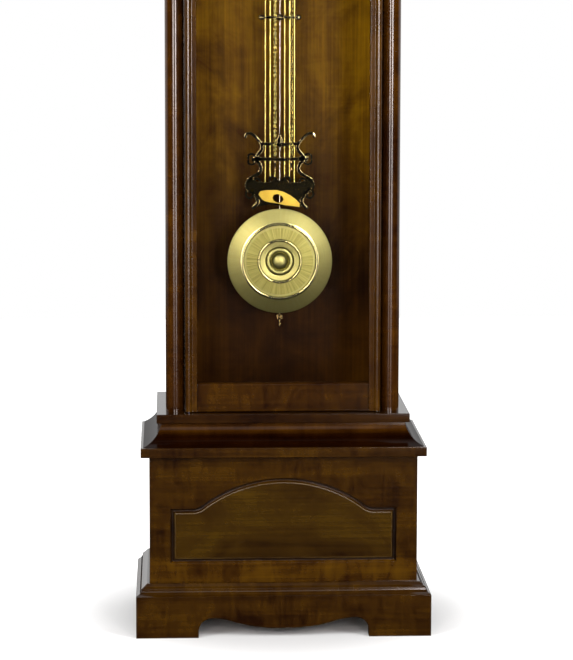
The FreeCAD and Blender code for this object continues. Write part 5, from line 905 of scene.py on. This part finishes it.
def swept_cornice():
    """The cornice section carried along the arched line, square to it, ending in mitres."""
    line = arched_top(262, 2016, 196, 84, 44)
    bm = bmesh.new()
    loops = []
    for index, (x, z) in enumerate(line):
        before, after = line[max(index - 1, 0)], line[min(index + 1, len(line) - 1)]
        along = Vector((after[0] - before[0], after[1] - before[1])).normalized()
        if index in (0, len(line) - 1):
            along = Vector((-1, 0))
        up = Vector((along[1], -along[0]))
        loops.append([bm.verts.new(((x + up[0] * drop) * mm, (-126 - out) * mm,
                                    (z + up[1] * drop) * mm)) for out, drop in cornice_rows])
    for here, there in zip(loops, loops[1:]):
        for index in range(len(cornice_rows)):
            after = (index + 1) % len(cornice_rows)
            bm.faces.new((here[index], here[after], there[after], there[index]))
    bm.faces.new(loops[0])
    bm.faces.new(loops[-1][::-1])
    bmesh.ops.recalc_face_normals(bm, faces=bm.faces)
    for way in (-1, 1):
        trimmed(bm, Vector((way * 0.236, -0.126, 0)), Vector((way, 1, 0)).normalized())
    return bm


def cornice_return(way):
    """The level cornice along one side, mitred at its front end."""
    bm = pushed([Vector(((way * (236 + o)) * mm, -0.15, (2016 + z) * mm)) for o, z in cornice_rows],
                (0, 0.288, 0))
    trimmed(bm, Vector((way * 0.236, -0.126, 0)), Vector((-way, -1, 0)).normalized())
    return bm


cornice = joined([swept_cornice(), cornice_return(-1), cornice_return(1)])
finished("cornice", cornice, cove_wood, "case", ["cornice_mouldings"])


# ---- Pendulum: seven polished rods with scrolled collars ----
# Six brass rods and a silvery steel one in the middle, held by cross bars that end in scrolls and
# carry a round plate in the middle. The middle rod runs on down behind the fret to the bob.

rod_brass = brushed_brass("rod_brass", (0.86, 0.74, 0.2), 0.2, (500.0, 500.0, 18.0), darker=0.9,
                          bump=0.02)
steel = brushed_brass("polished_steel", (0.78, 0.71, 0.52), 0.22, (400.0, 400.0, 18.0), darker=0.85,
                      bump=0.02)
dark_brass = brushed_brass("dark_brass", (0.46, 0.38, 0.18), 0.08, (140.0, 140.0, 140.0), darker=0.6,
                           bump=0.0)


def round_bar(start, end, radius, steps=16):
    """A round bar between two points in millimetres."""
    first, last = Vector(start) * mm, Vector(end) * mm
    bm = lathe([(radius * mm * 0.8, 0), (radius * mm, radius * mm * 0.2),
                (radius * mm, (last - first).length - radius * mm * 0.2),
                (radius * mm * 0.8, (last - first).length)], steps)
    turn = (last - first).to_track_quat("Z", "Y").to_matrix().to_4x4()
    bmesh.ops.transform(bm, matrix=Matrix.Translation(first) @ turn, verts=bm.verts)
    return bm


def collar(z):
    """A cross bar with a raised disc in the middle and a rolled scroll at each end."""
    parts = [board((-33, 55.5, z - 2.5), (33, 60.5, z + 2.5), 0.8)]
    disc = lathe([(r * mm, h * mm) for r, h in ((6.5, -2.5), (6.5, 2.0), (5.9, 2.6), (4.6, 2.6),
                                               (4.2, 2.0), (2.6, 2.0), (1.6, 3.0), (0, 3.3))], 40)
    turn = Matrix.Translation(Vector((0, 58, z)) * mm) @ Matrix.Rotation(math.radians(90), 4, "X")
    bmesh.ops.transform(disc, matrix=turn, verts=disc.verts)
    parts.append(disc)
    for way in (-1, 1):
        curl = lathe([(r * mm, h * mm) for r, h in ((5.1, -2.5), (5.1, 2.1), (4.5, 2.6), (3.4, 2.6),
                                                   (3.0, 1.7), (1.7, 1.7), (1.3, 2.5), (0, 2.7))], 32)
        turn = (Matrix.Translation(Vector((way * 33, 58, z)) * mm)
                @ Matrix.Rotation(math.radians(90), 4, "X"))
        bmesh.ops.transform(curl, matrix=turn, verts=curl.verts)
        parts.append(curl)
    return parts


rods = [round_bar((x * 8.75, 58, 781), (x * 8.75, 58, 1480), 1.5) for x in (-3, -2, -1, 1, 2, 3)]
rods.append(board((-29.25, 56.5, 1479), (29.25, 59.5, 1495), 0.6))
rods.append(board((-29.25, 56.5, 781), (29.25, 59.5, 786), 0.6))
rods.append(board((-3.5, 56.5, 1487), (3.5, 59.5, 1618), 0.5))
finished("pendulum_rod_set", joined(rods), rod_brass, "pendulum", ["pendulum_rods"])
finished("rod_collars", joined(collar(1083) + collar(1348)), dark_brass, "pendulum",
         ["pendulum_rods"])
finished("middle_rod", round_bar((0, 58, 727), (0, 58, 1480), 1.5), steel, "pendulum",
         ["pendulum_rods"])
stud = joined([round_bar((0, 58, 524), (0, 58, 728), 2.2, 24)]
              + [round_bar((0, 58, 526 + k * 1.0), (0, 58, 526.7 + k * 1.0), 2.5, 24)
                 for k in range(24)])
finished("rating_stud", stud, turned_brass, "pendulum", ["pendulum_rods"])


# ---- Lyre fret ----
# A lyre cut from brass sheet and dished at its edges, hung in front of the rods: two scrolled
# arms, two bands with a short post between the scrolls, a wide foot plate and four short legs.

def smooth_line(knots, steps=7):
    """Points of a smooth curve through the knots."""
    padded = [knots[0]] + list(knots) + [knots[-1]]
    points = []
    for index in range(1, len(padded) - 2):
        group = padded[index - 1:index + 3]
        for step in range(steps):
            t = step / steps
            points.append(tuple(0.5 * (2 * b + (c - a) * t + (2 * a - 5 * b + 4 * c - d) * t * t
                                       + (3 * b - a - 3 * c + d) * t ** 3)
                                for a, b, c, d in zip(*group)))
    return points + [tuple(knots[-1])]


def band(knots, width, taper=1.0):
    """A flat band of brass along a smooth curve; sizes in shares of the fret's half width."""
    unit, foot = 64.0, 736.0
    points = [Vector((x * unit, foot + z * unit)) for x, z in smooth_line(knots)]
    bm = bmesh.new()
    loops = []
    for index, point in enumerate(points):
        way = (points[min(index + 1, len(points) - 1)] - points[max(index - 1, 0)]).normalized()
        across = Vector((-way[1], way[0]))
        share = index / (len(points) - 1)
        half = unit * width / 2 * (1 - (1 - taper) * share)
        if index in (0, len(points) - 1):
            half *= 0.55
            point = point + way * (unit * width * 0.3 * (1 if index else -1))
        loops.append([bm.verts.new(((point[0] + across[0] * half * side) * mm, (56.4 - depth) * mm,
                                    (point[1] + across[1] * half * side) * mm))
                      for side, depth in ((-1, 0), (-1, 1.3), (-0.8, 1.6), (0.8, 1.6), (1, 1.3),
                                          (1, 0))])
    for here, there in zip(loops, loops[1:]):
        for index in range(6):
            after = (index + 1) % 6
            bm.faces.new((here[index], here[after], there[after], there[index]))
    bm.faces.new(loops[0])
    bm.faces.new(loops[-1][::-1])
    bmesh.ops.recalc_face_normals(bm, faces=bm.faces)
    return bm


strokes = [
    ([(0.9, 0.86), (0.76, 0.95), (0.6, 1.04), (0.53, 1.16), (0.55, 1.28), (0.64, 1.4)], 0.1),
    ([(0.7, 1.48), (0.63, 1.57), (0.53, 1.68), (0.5, 1.8), (0.54, 1.92)], 0.1),
    ([(0.52, 1.87), (0.6, 1.98), (0.7, 2.09), (0.82, 2.17), (0.93, 2.16), (0.97, 2.07)], 0.08),
    ([(0.6, 1.45), (0.74, 1.45)], 0.2),
    ([(0.66, 1.5), (0.76, 1.59), (0.88, 1.56), (0.89, 1.46)], 0.06),
    ([(0.66, 1.4), (0.76, 1.3), (0.88, 1.33), (0.89, 1.42)], 0.06),
    ([(0.05, 0.84), (0.2, 0.95), (0.3, 0.88), (0.26, 0.78)], 0.07),
    ([(0.55, 0.8), (0.6, 0.9), (0.7, 0.88)], 0.07),
    ([(0.93, 0.56), (0.95, 0.43), (0.87, 0.35), (0.77, 0.38), (0.76, 0.46)], 0.07),
    ([(0.86, 0.6), (0.68, 0.42), (0.62, 0.22), (0.76, 0.06)], 0.1),
]
fret = []
for knots, width in strokes:
    for way in (-1, 1):
        fret.append(band([(way * x, z) for x, z in knots], width))
fret.append(band([(-0.68, 1.46), (0, 1.44), (0.68, 1.46)], 0.09))
fret.append(band([(-0.54, 1.88), (0, 1.86), (0.54, 1.88)], 0.09))
fret.append(band([(0, 1.84), (0, 2.02)], 0.17))
fret.append(band([(0, 1.9), (0, 2.14)], 0.08))
right_side = [(0, 0.12), (0.3, 0.17), (0.62, 0.1), (0.56, 0.26), (0.64, 0.42), (0.88, 0.5), (0.98, 0.62),
              (0.99, 0.76), (0.93, 0.88), (0.82, 0.96), (0.73, 0.9), (0.66, 0.82), (0.5, 0.8),
              (0.28, 0.79), (0.16, 0.9)]
foot_plate = right_side + [(0, 0.84)] + [(-x, z) for x, z in right_side[:0:-1]]
hole = [(-0.21, 0.36), (-0.16, 0.44), (-0.05, 0.46), (0.07, 0.4), (0.11, 0.3), (0.04, 0.22),
        (-0.08, 0.22), (-0.18, 0.28)]
fret.append(plate_with_hole([(x * 64, 736 + z * 64) for x, z in foot_plate],
                            [(x * 64, 736 + z * 64) for x, z in hole], 54.8, 56.4))
finished("lyre", joined(fret), dark_brass, "pendulum", ["lyre_fret"])

# Painted reflection: a thin plate in front of the foot plate is bright gold with darker patches, standing
# in for the bob and the lamps mirrored in the fret's dished lower part.
apron_painted_reflection = brushed_brass("apron_painted_reflection", (0.72, 0.5, 0.07), 0.34, (60.0, 60.0, 60.0), darker=0.25)
apron_edge = [(-0.6, 0.45), (-0.5, 0.31), (-0.41, 0.26), (-0.27, 0.225), (-0.08, 0.2), (0.11, 0.15),
              (0.3, 0.13), (0.56, 0.09), (0.56, 0.2), (0.46, 0.3), (0.3, 0.42), (0.11, 0.52), (-0.08, 0.57),
              (-0.39, 0.57), (-0.55, 0.54)]
apron = plate_with_hole([(x * 64, 736 + z * 64) for x, z in apron_edge],
                        [(x * 64, 736 + z * 64) for x, z in hole], 54.3, 54.8)
finished("fret_apron", apron, apron_painted_reflection, "pendulum", ["lyre_fret"])


# ---- Bob and rating nut ----
# A spun brass disc 190 mm across: flat rim, rounded bead, a broad satin ring, a polished raised
# ring and a low dome in a dish. The nut below it is knurled.

def spun_brass(name, colour, rough, streak):
    """Brass with fine turning marks round the Y axis of the bob, and radial rays of painted sheen whose
    dark side is as dark as streak.
    """
    material, tree, output = new_material(name)
    body = tree.nodes.new("ShaderNodeBsdfPrincipled")
    place = tree.nodes.new("ShaderNodeTexCoord")
    split = tree.nodes.new("ShaderNodeSeparateXYZ")
    tree.links.new(place.outputs["Object"], split.inputs[0])
    flat = tree.nodes.new("ShaderNodeCombineXYZ")
    tree.links.new(split.outputs["X"], flat.inputs["X"])
    lifted = tree.nodes.new("ShaderNodeMath")
    lifted.operation = "SUBTRACT"
    lifted.inputs[1].default_value = 0.644
    tree.links.new(split.outputs["Z"], lifted.inputs[0])
    tree.links.new(lifted.outputs[0], flat.inputs["Z"])
    reach = tree.nodes.new("ShaderNodeVectorMath")
    reach.operation = "LENGTH"
    tree.links.new(flat.outputs[0], reach.inputs[0])
    angle = tree.nodes.new("ShaderNodeMath")
    angle.operation = "ARCTAN2"
    tree.links.new(lifted.outputs[0], angle.inputs[0])
    tree.links.new(split.outputs["X"], angle.inputs[1])
    turning = tree.nodes.new("ShaderNodeCombineXYZ")
    tree.links.new(reach.outputs["Value"], turning.inputs["X"])
    tree.links.new(angle.outputs[0], turning.inputs["Y"])
    marks = stretched_noise(tree, turning.outputs[0], (2600.0, 1.6, 1.0), 3.0, 0.6)
    # Painted sheen: radial rays of light and dark in the colour.
    painted_rays = stretched_noise(tree, turning.outputs[0], (6.0, 34.0, 1.0), 5.0, 0.75)
    tint = ramp(tree, [(0.3, tuple(c * 0.82 for c in colour)), (0.7, colour)])
    tree.links.new(marks.outputs["Fac"], tint.inputs["Fac"])
    soft = ramp(tree, [(0.36, (streak, streak * 0.97, streak * 0.88)), (0.64, (1.0, 1.0, 1.0))])
    tree.links.new(painted_rays.outputs["Fac"], soft.inputs["Fac"])
    tree.links.new(mixed(tree, "MULTIPLY", 1.0, tint.outputs["Color"], soft.outputs["Color"]),
                   body.inputs["Base Color"])
    body.inputs["Metallic"].default_value = 1.0
    body.inputs["Roughness"].default_value = rough
    groove = tree.nodes.new("ShaderNodeBump")
    groove.inputs["Strength"].default_value = 0.25
    groove.inputs["Distance"].default_value = 0.04 * mm
    tree.links.new(marks.outputs["Fac"], groove.inputs["Height"])
    tree.links.new(groove.outputs[0], body.inputs["Normal"])
    tree.links.new(body.outputs[0], output.inputs["Surface"])
    return material


# All three bob finishes carry rays of painted sheen, strongest on the broad ring.
satin_brass = spun_brass("satin_brass", (0.42, 0.4, 0.145), 0.36, 0.93)
painted_sheen_brass = spun_brass("painted_sheen_brass", (0.49, 0.46, 0.135), 0.28, 0.42)
bright_ring = spun_brass("bright_ring", (0.86, 0.81, 0.4), 0.15, 0.95)

bob_rows = [(0, 0.0), (94.4, 0.0), (95, 0.6), (95, 1.2), (94.2, 1.7), (70.6, 6.9), (69.6, 7.0)]
bob_rows += arc((67, 7.0), 2.6, 0, 180, 12)[1:] + [(64, 5.0), (61.6, 5.0), (61, 6.3), (60.4, 6.5),
                                                  (40.6, 6.5)]
bob_rows += arc((38.0, 6.6), 2.6, 0, 180, 14) + [(34.9, 5.2), (34.2, 5.2)]
bob_rows += [(26.4, 4.5)]
bob_rows += [(20.9 + 4.9 * math.cos(math.radians(a)), 4.6 + 2.6 * math.sin(math.radians(a)))
             for a in range(8, 176, 8)] + [(15.9, 4.9), (15.4, 5.2)]
bob_rows += [(15.2 * math.cos(math.radians(a)), 5.2 + 5.0 * math.sin(math.radians(a)))
             for a in range(10, 90, 8)] + [(0, 10.2)]
bob = lathe([(r * mm, h * mm) for r, h in bob_rows], 192)
bmesh.ops.transform(bob, matrix=Matrix.Translation((0, 0.0545, 0.644))
                    @ Matrix.Rotation(math.radians(90), 4, "X"), verts=bob.verts)
block = board((-9, 54.5, 624), (9, 61.5, 664), 0.6)
disc = finished("bob_disc", joined([bob, block]), satin_brass, "pendulum",
                ["pendulum_bob"])
disc.data.materials.append(bright_ring)
disc.data.materials.append(painted_sheen_brass)
for face in disc.data.polygons:
    out = math.hypot(face.center.x, face.center.z - 0.644) * 1000
    if 35 < out < 41 or 63.5 < out < 70.5:
        face.material_index = 1
    elif 41 < out < 60.5:
        face.material_index = 2

nut = lathe([(r * mm, h * mm) for r, h in ((5.2, 538), (6, 538.8), (6, 545.2), (5.2, 546))], 72)
for vertex in nut.verts:
    if 0.5385 < vertex.co.z < 0.5455 and round(math.atan2(vertex.co.y, vertex.co.x) * 36 / math.pi) % 2:
        vertex.co.x *= 0.93
        vertex.co.y *= 0.93
bmesh.ops.translate(nut, verts=nut.verts, vec=(0, 0.058, 0))
finished("knurled_nut", nut, turned_brass, "rating_nut", ["rating_nut"])


# ---- Weights and chains ----
# Two brass-shelled weights hang on chains of small oval links. Each chain climbs from its weight,
# turns over a sprocket of the movement and hangs free down to a ring beside the rods.

chain_brass = brushed_brass("chain_brass", (0.78, 0.66, 0.18), 0.26, (200.0, 200.0, 200.0), darker=0.9)
weight_brass = brushed_brass("weight_brass", (0.88, 0.66, 0.28), 0.14, (40.0, 40.0, 600.0))


def link(centre, along, across, length=5.8, width=4.6, wire=0.72, steps=14, round_steps=6):
    """One oval link of wire; along and across are unit vectors of its flat plane."""
    normal = along.cross(across)
    points = []
    straight, bend = (length - width) / 2, width / 2
    for k in range(steps):
        a = 2 * math.pi * k / steps
        lift = straight if math.sin(a) > 0.01 else (-straight if math.sin(a) < -0.01 else 0)
        points.append(centre + (across * (bend * math.cos(a)) + along * (bend * math.sin(a) + lift)) * mm)
    bm = bmesh.new()
    loops = []
    for k, point in enumerate(points):
        way = (points[(k + 1) % steps] - points[k - 1]).normalized()
        side = normal.cross(way)
        loops.append([bm.verts.new(point + (side * math.cos(2 * math.pi * j / round_steps)
                                            + normal * math.sin(2 * math.pi * j / round_steps))
                                   * wire * mm) for j in range(round_steps)])
    for k in range(steps):
        here, there = loops[k], loops[(k + 1) % steps]
        for j in range(round_steps):
            after = (j + 1) % round_steps
            bm.faces.new((here[j], here[after], there[after], there[j]))
    return bm


def hanging_chain(name, x, low, high, replaced):
    """A strand of links, alternately facing front and side, from the high end down to the low one.

    It is made in seven lengths, split at heights that follow a smooth step.
    """
    pitch, z, flip, links = 4.1, high - 2.9, False, []
    while z > low + 2.9:
        across = Vector((1, 0, 0)) if flip else Vector((0, 1, 0))
        links.append((z, link(Vector((x, -2, z)) * mm, Vector((0, 0, 1)), across)))
        z, flip = z - pitch, not flip
    shares = (0, 0.02, 0.1, 0.3, 0.7, 0.9, 0.98, 1)
    for number, (above, below) in enumerate(zip(shares, shares[1:]), 1):
        first, last = high - above * (high - low), high - below * (high - low)
        parts = [one for z, one in links if z <= first and (z > last or below == 1)]
        if not parts:
            continue
        length = object_from(f"{name}_{number}", joined(parts))
        length.data.materials.append(chain_brass)
        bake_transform(length)
        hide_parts(replaced)


for label, x, low in (("time", 18, 832), ("strike", -11, 832)):
    hanging_chain(label + "_free_links", x, low, 1546, label + "_chain_free")
    hook = lathe([(r * mm, (811 + h) * mm) for r, h in ((0, 0), (1.2, 0.6), (1.5, 1.6), (1.1, 4.5),
                                                       (1.3, 9.0), (2.6, 15.0), (3.1, 17.5),
                                                       (2.5, 19.6), (0.9, 20.6), (0, 20.8))], 24)
    bmesh.ops.translate(hook, verts=hook.verts, vec=(x * mm, -0.002, 0))
    finished(label + "_end_drop", hook, turned_brass, label + "_chain_end",
             [label + "_chain_free"])

for label, x in (("time", 52), ("strike", -45)):
    hanging_chain(label + "_loaded_links", x, 1399, 1546, label + "_chain_loaded")
    shell = [(0, 1166), (2.0, 1166.6), (3.6, 1170), (3.0, 1174), (4.6, 1177), (4.9, 1180), (25, 1180),
             (26, 1181), (26, 1188), (25.4, 1189), (24.6, 1190), (24.6, 1370), (25.4, 1371),
             (26, 1372), (26, 1379), (25, 1380), (5, 1380), (3.4, 1382), (2.5, 1385), (2.5, 1388),
             (0, 1388.6)]
    weight = lathe([(r * mm, z * mm) for r, z in shell], 96)
    bmesh.ops.translate(weight, verts=weight.verts, vec=(x * mm, -0.002, 0))
    ring = link(Vector((x, -2, 1394)) * mm, Vector((0, 0, 1)), Vector((1, 0, 0)), 9.0, 8.8, 0.9, 24, 8)
    finished(label + "_weight_shell", joined([weight, ring]), weight_brass, label + "_weight",
             [label + "_weight"])


def chain_over(x, z, radius=17.0):
    """Links over the top half of a sprocket."""
    parts, count = [], 13
    for k in range(count):
        a = math.pi * (k + 0.5) / count
        centre = Vector((x + radius * math.cos(a), -2, z + radius * math.sin(a))) * mm
        along = Vector((-math.sin(a), 0, math.cos(a)))
        across = Vector((0, 1, 0)) if k % 2 else Vector((math.cos(a), 0, math.sin(a)))
        parts.append(link(centre, along, across))
    for side in (-1, 1):
        for k in range(4):
            across = Vector((0, 1, 0)) if k % 2 else Vector((1, 0, 0))
            place = Vector((x + side * radius, -2, z - 2 - 4.1 * k)) * mm
            parts.append(link(place, Vector((0, 0, 1)), across))
    return joined(parts)


finished("sprocket_turns", joined([chain_over(35, 1562), chain_over(-28, 1562)]), chain_brass, "case",
         ["chain_turns"])


# ---- Dial: brass sheet, silvered chapter ring with numerals, and the hands ----
# A thin arched sheet of satin brass carries the silvered ring. The hour numerals and minute dots
# are pressed and filled black, and the blued steel hands turn in front.

dial_sheet = brushed_brass("dial_sheet", (0.62, 0.47, 0.21), 0.44, (30.0, 30.0, 900.0))
silvered = brushed_brass("silvered", (0.58, 0.57, 0.53), 0.5, (700.0, 700.0, 40.0), darker=0.9)
print_black, tree, output = new_material("print_black")
ink = tree.nodes.new("ShaderNodeBsdfPrincipled")
place = tree.nodes.new("ShaderNodeTexCoord")
grit = stretched_noise(tree, place.outputs["Object"], (1500.0, 1500.0, 1500.0), 3.0, 0.6)
tones = ramp(tree, [(0.3, (0.006, 0.006, 0.007)), (0.7, (0.016, 0.015, 0.015))])
tree.links.new(grit.outputs["Fac"], tones.inputs["Fac"])
tree.links.new(tones.outputs["Color"], ink.inputs["Base Color"])
ink.inputs["Roughness"].default_value = 0.32
tree.links.new(ink.outputs[0], output.inputs["Surface"])


def refinish(material, *names):
    """Give CAD nodes a new material and leave their shape and place."""
    for name in names:
        mesh = nodes[name].data
        mesh.materials.clear()
        mesh.materials.append(material)


refinish(dial_sheet, "dial_plate")
refinish(silvered, "chapter_ring")


def numeral(text, size, angle, reach):
    """Raised lettering on the ring, upright along the radius."""
    curve = bpy.data.curves.new("numeral", "FONT")
    curve.body, curve.size, curve.extrude = text, size * mm, 0.1 * mm
    curve.align_x = curve.align_y = "CENTER"
    item = bpy.data.objects.new("numeral", curve)
    bpy.context.collection.objects.link(item)
    bpy.context.view_layer.update()
    data = bpy.data.meshes.new_from_object(item.evaluated_get(bpy.context.evaluated_depsgraph_get()))
    bpy.data.objects.remove(item)
    a = math.radians(angle)
    place = (Matrix.Translation((reach * mm * math.sin(a), -0.05352, 1.6 + reach * mm * math.cos(a)))
             @ Matrix.Rotation(a, 4, "Y") @ Matrix.Rotation(math.radians(90), 4, "X"))
    data.transform(place)
    bm = bmesh.new()
    bm.from_mesh(data)
    bpy.data.meshes.remove(data)
    return bm


def minute_mark(index):
    """A dot for each minute and a longer bar for each five."""
    a = math.radians(index * 6)
    high = 144.5
    length, width = (4.0, 1.6) if index % 5 == 0 else (1.6, 1.0)
    bm = board((-width / 2, -53.62, high - length), (width / 2, -53.45, high), 0.05)
    bmesh.ops.transform(bm, matrix=Matrix.Translation((0, 0, 1.6)) @ Matrix.Rotation(a, 4, "Y"),
                        verts=bm.verts)
    return bm


marks = [numeral(str(hour), 21, hour * 30, 128) for hour in range(1, 13)]
marks += [minute_mark(index) for index in range(60)]
marks_piece = object_from("dial_marks", joined(marks))
marks_piece.data.materials.append(print_black)
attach(marks_piece, "case")

blued = brushed_brass("blued_steel", (0.035, 0.04, 0.07), 0.22, (300.0, 300.0, 300.0))
refinish(blued, "minute_hand", "hour_hand")


# ---- Seat board and movement ----
# A pale beech board across the trunk sides carries the movement: two brass plates on pillars, the
# wheels of both trains, steel pinions, the anchor and the hammer that strikes the gong rods.

pale_wood = lacquered_wood("pale_wood", "x", (0.4, 0.25, 0.12), blotch=6.0, shift=14.0, gloss=0.4,
                           coat=0.2, contrast=0.4)
refinish(pale_wood, "seat_board")
plate_brass = brushed_brass("plate_brass", (0.88, 0.68, 0.33), 0.28, (30.0, 900.0, 700.0))
wheel_brass = brushed_brass("wheel_brass", (0.92, 0.7, 0.3), 0.22, (500.0, 500.0, 500.0))
refinish(plate_brass, "front_plate", "back_plate")
refinish(wheel_brass, "minute_wheel", "centre_wheel", "third_wheel", "escape_wheel",
         "intermediate_wheel", "time_great_wheel", "time_sprocket", "strike_great_wheel",
         "strike_pin_wheel")
refinish(steel, "anchor", "hammer", "gong_rods", "suspension_hook")
refinish(blued, "door_pivot_pins")
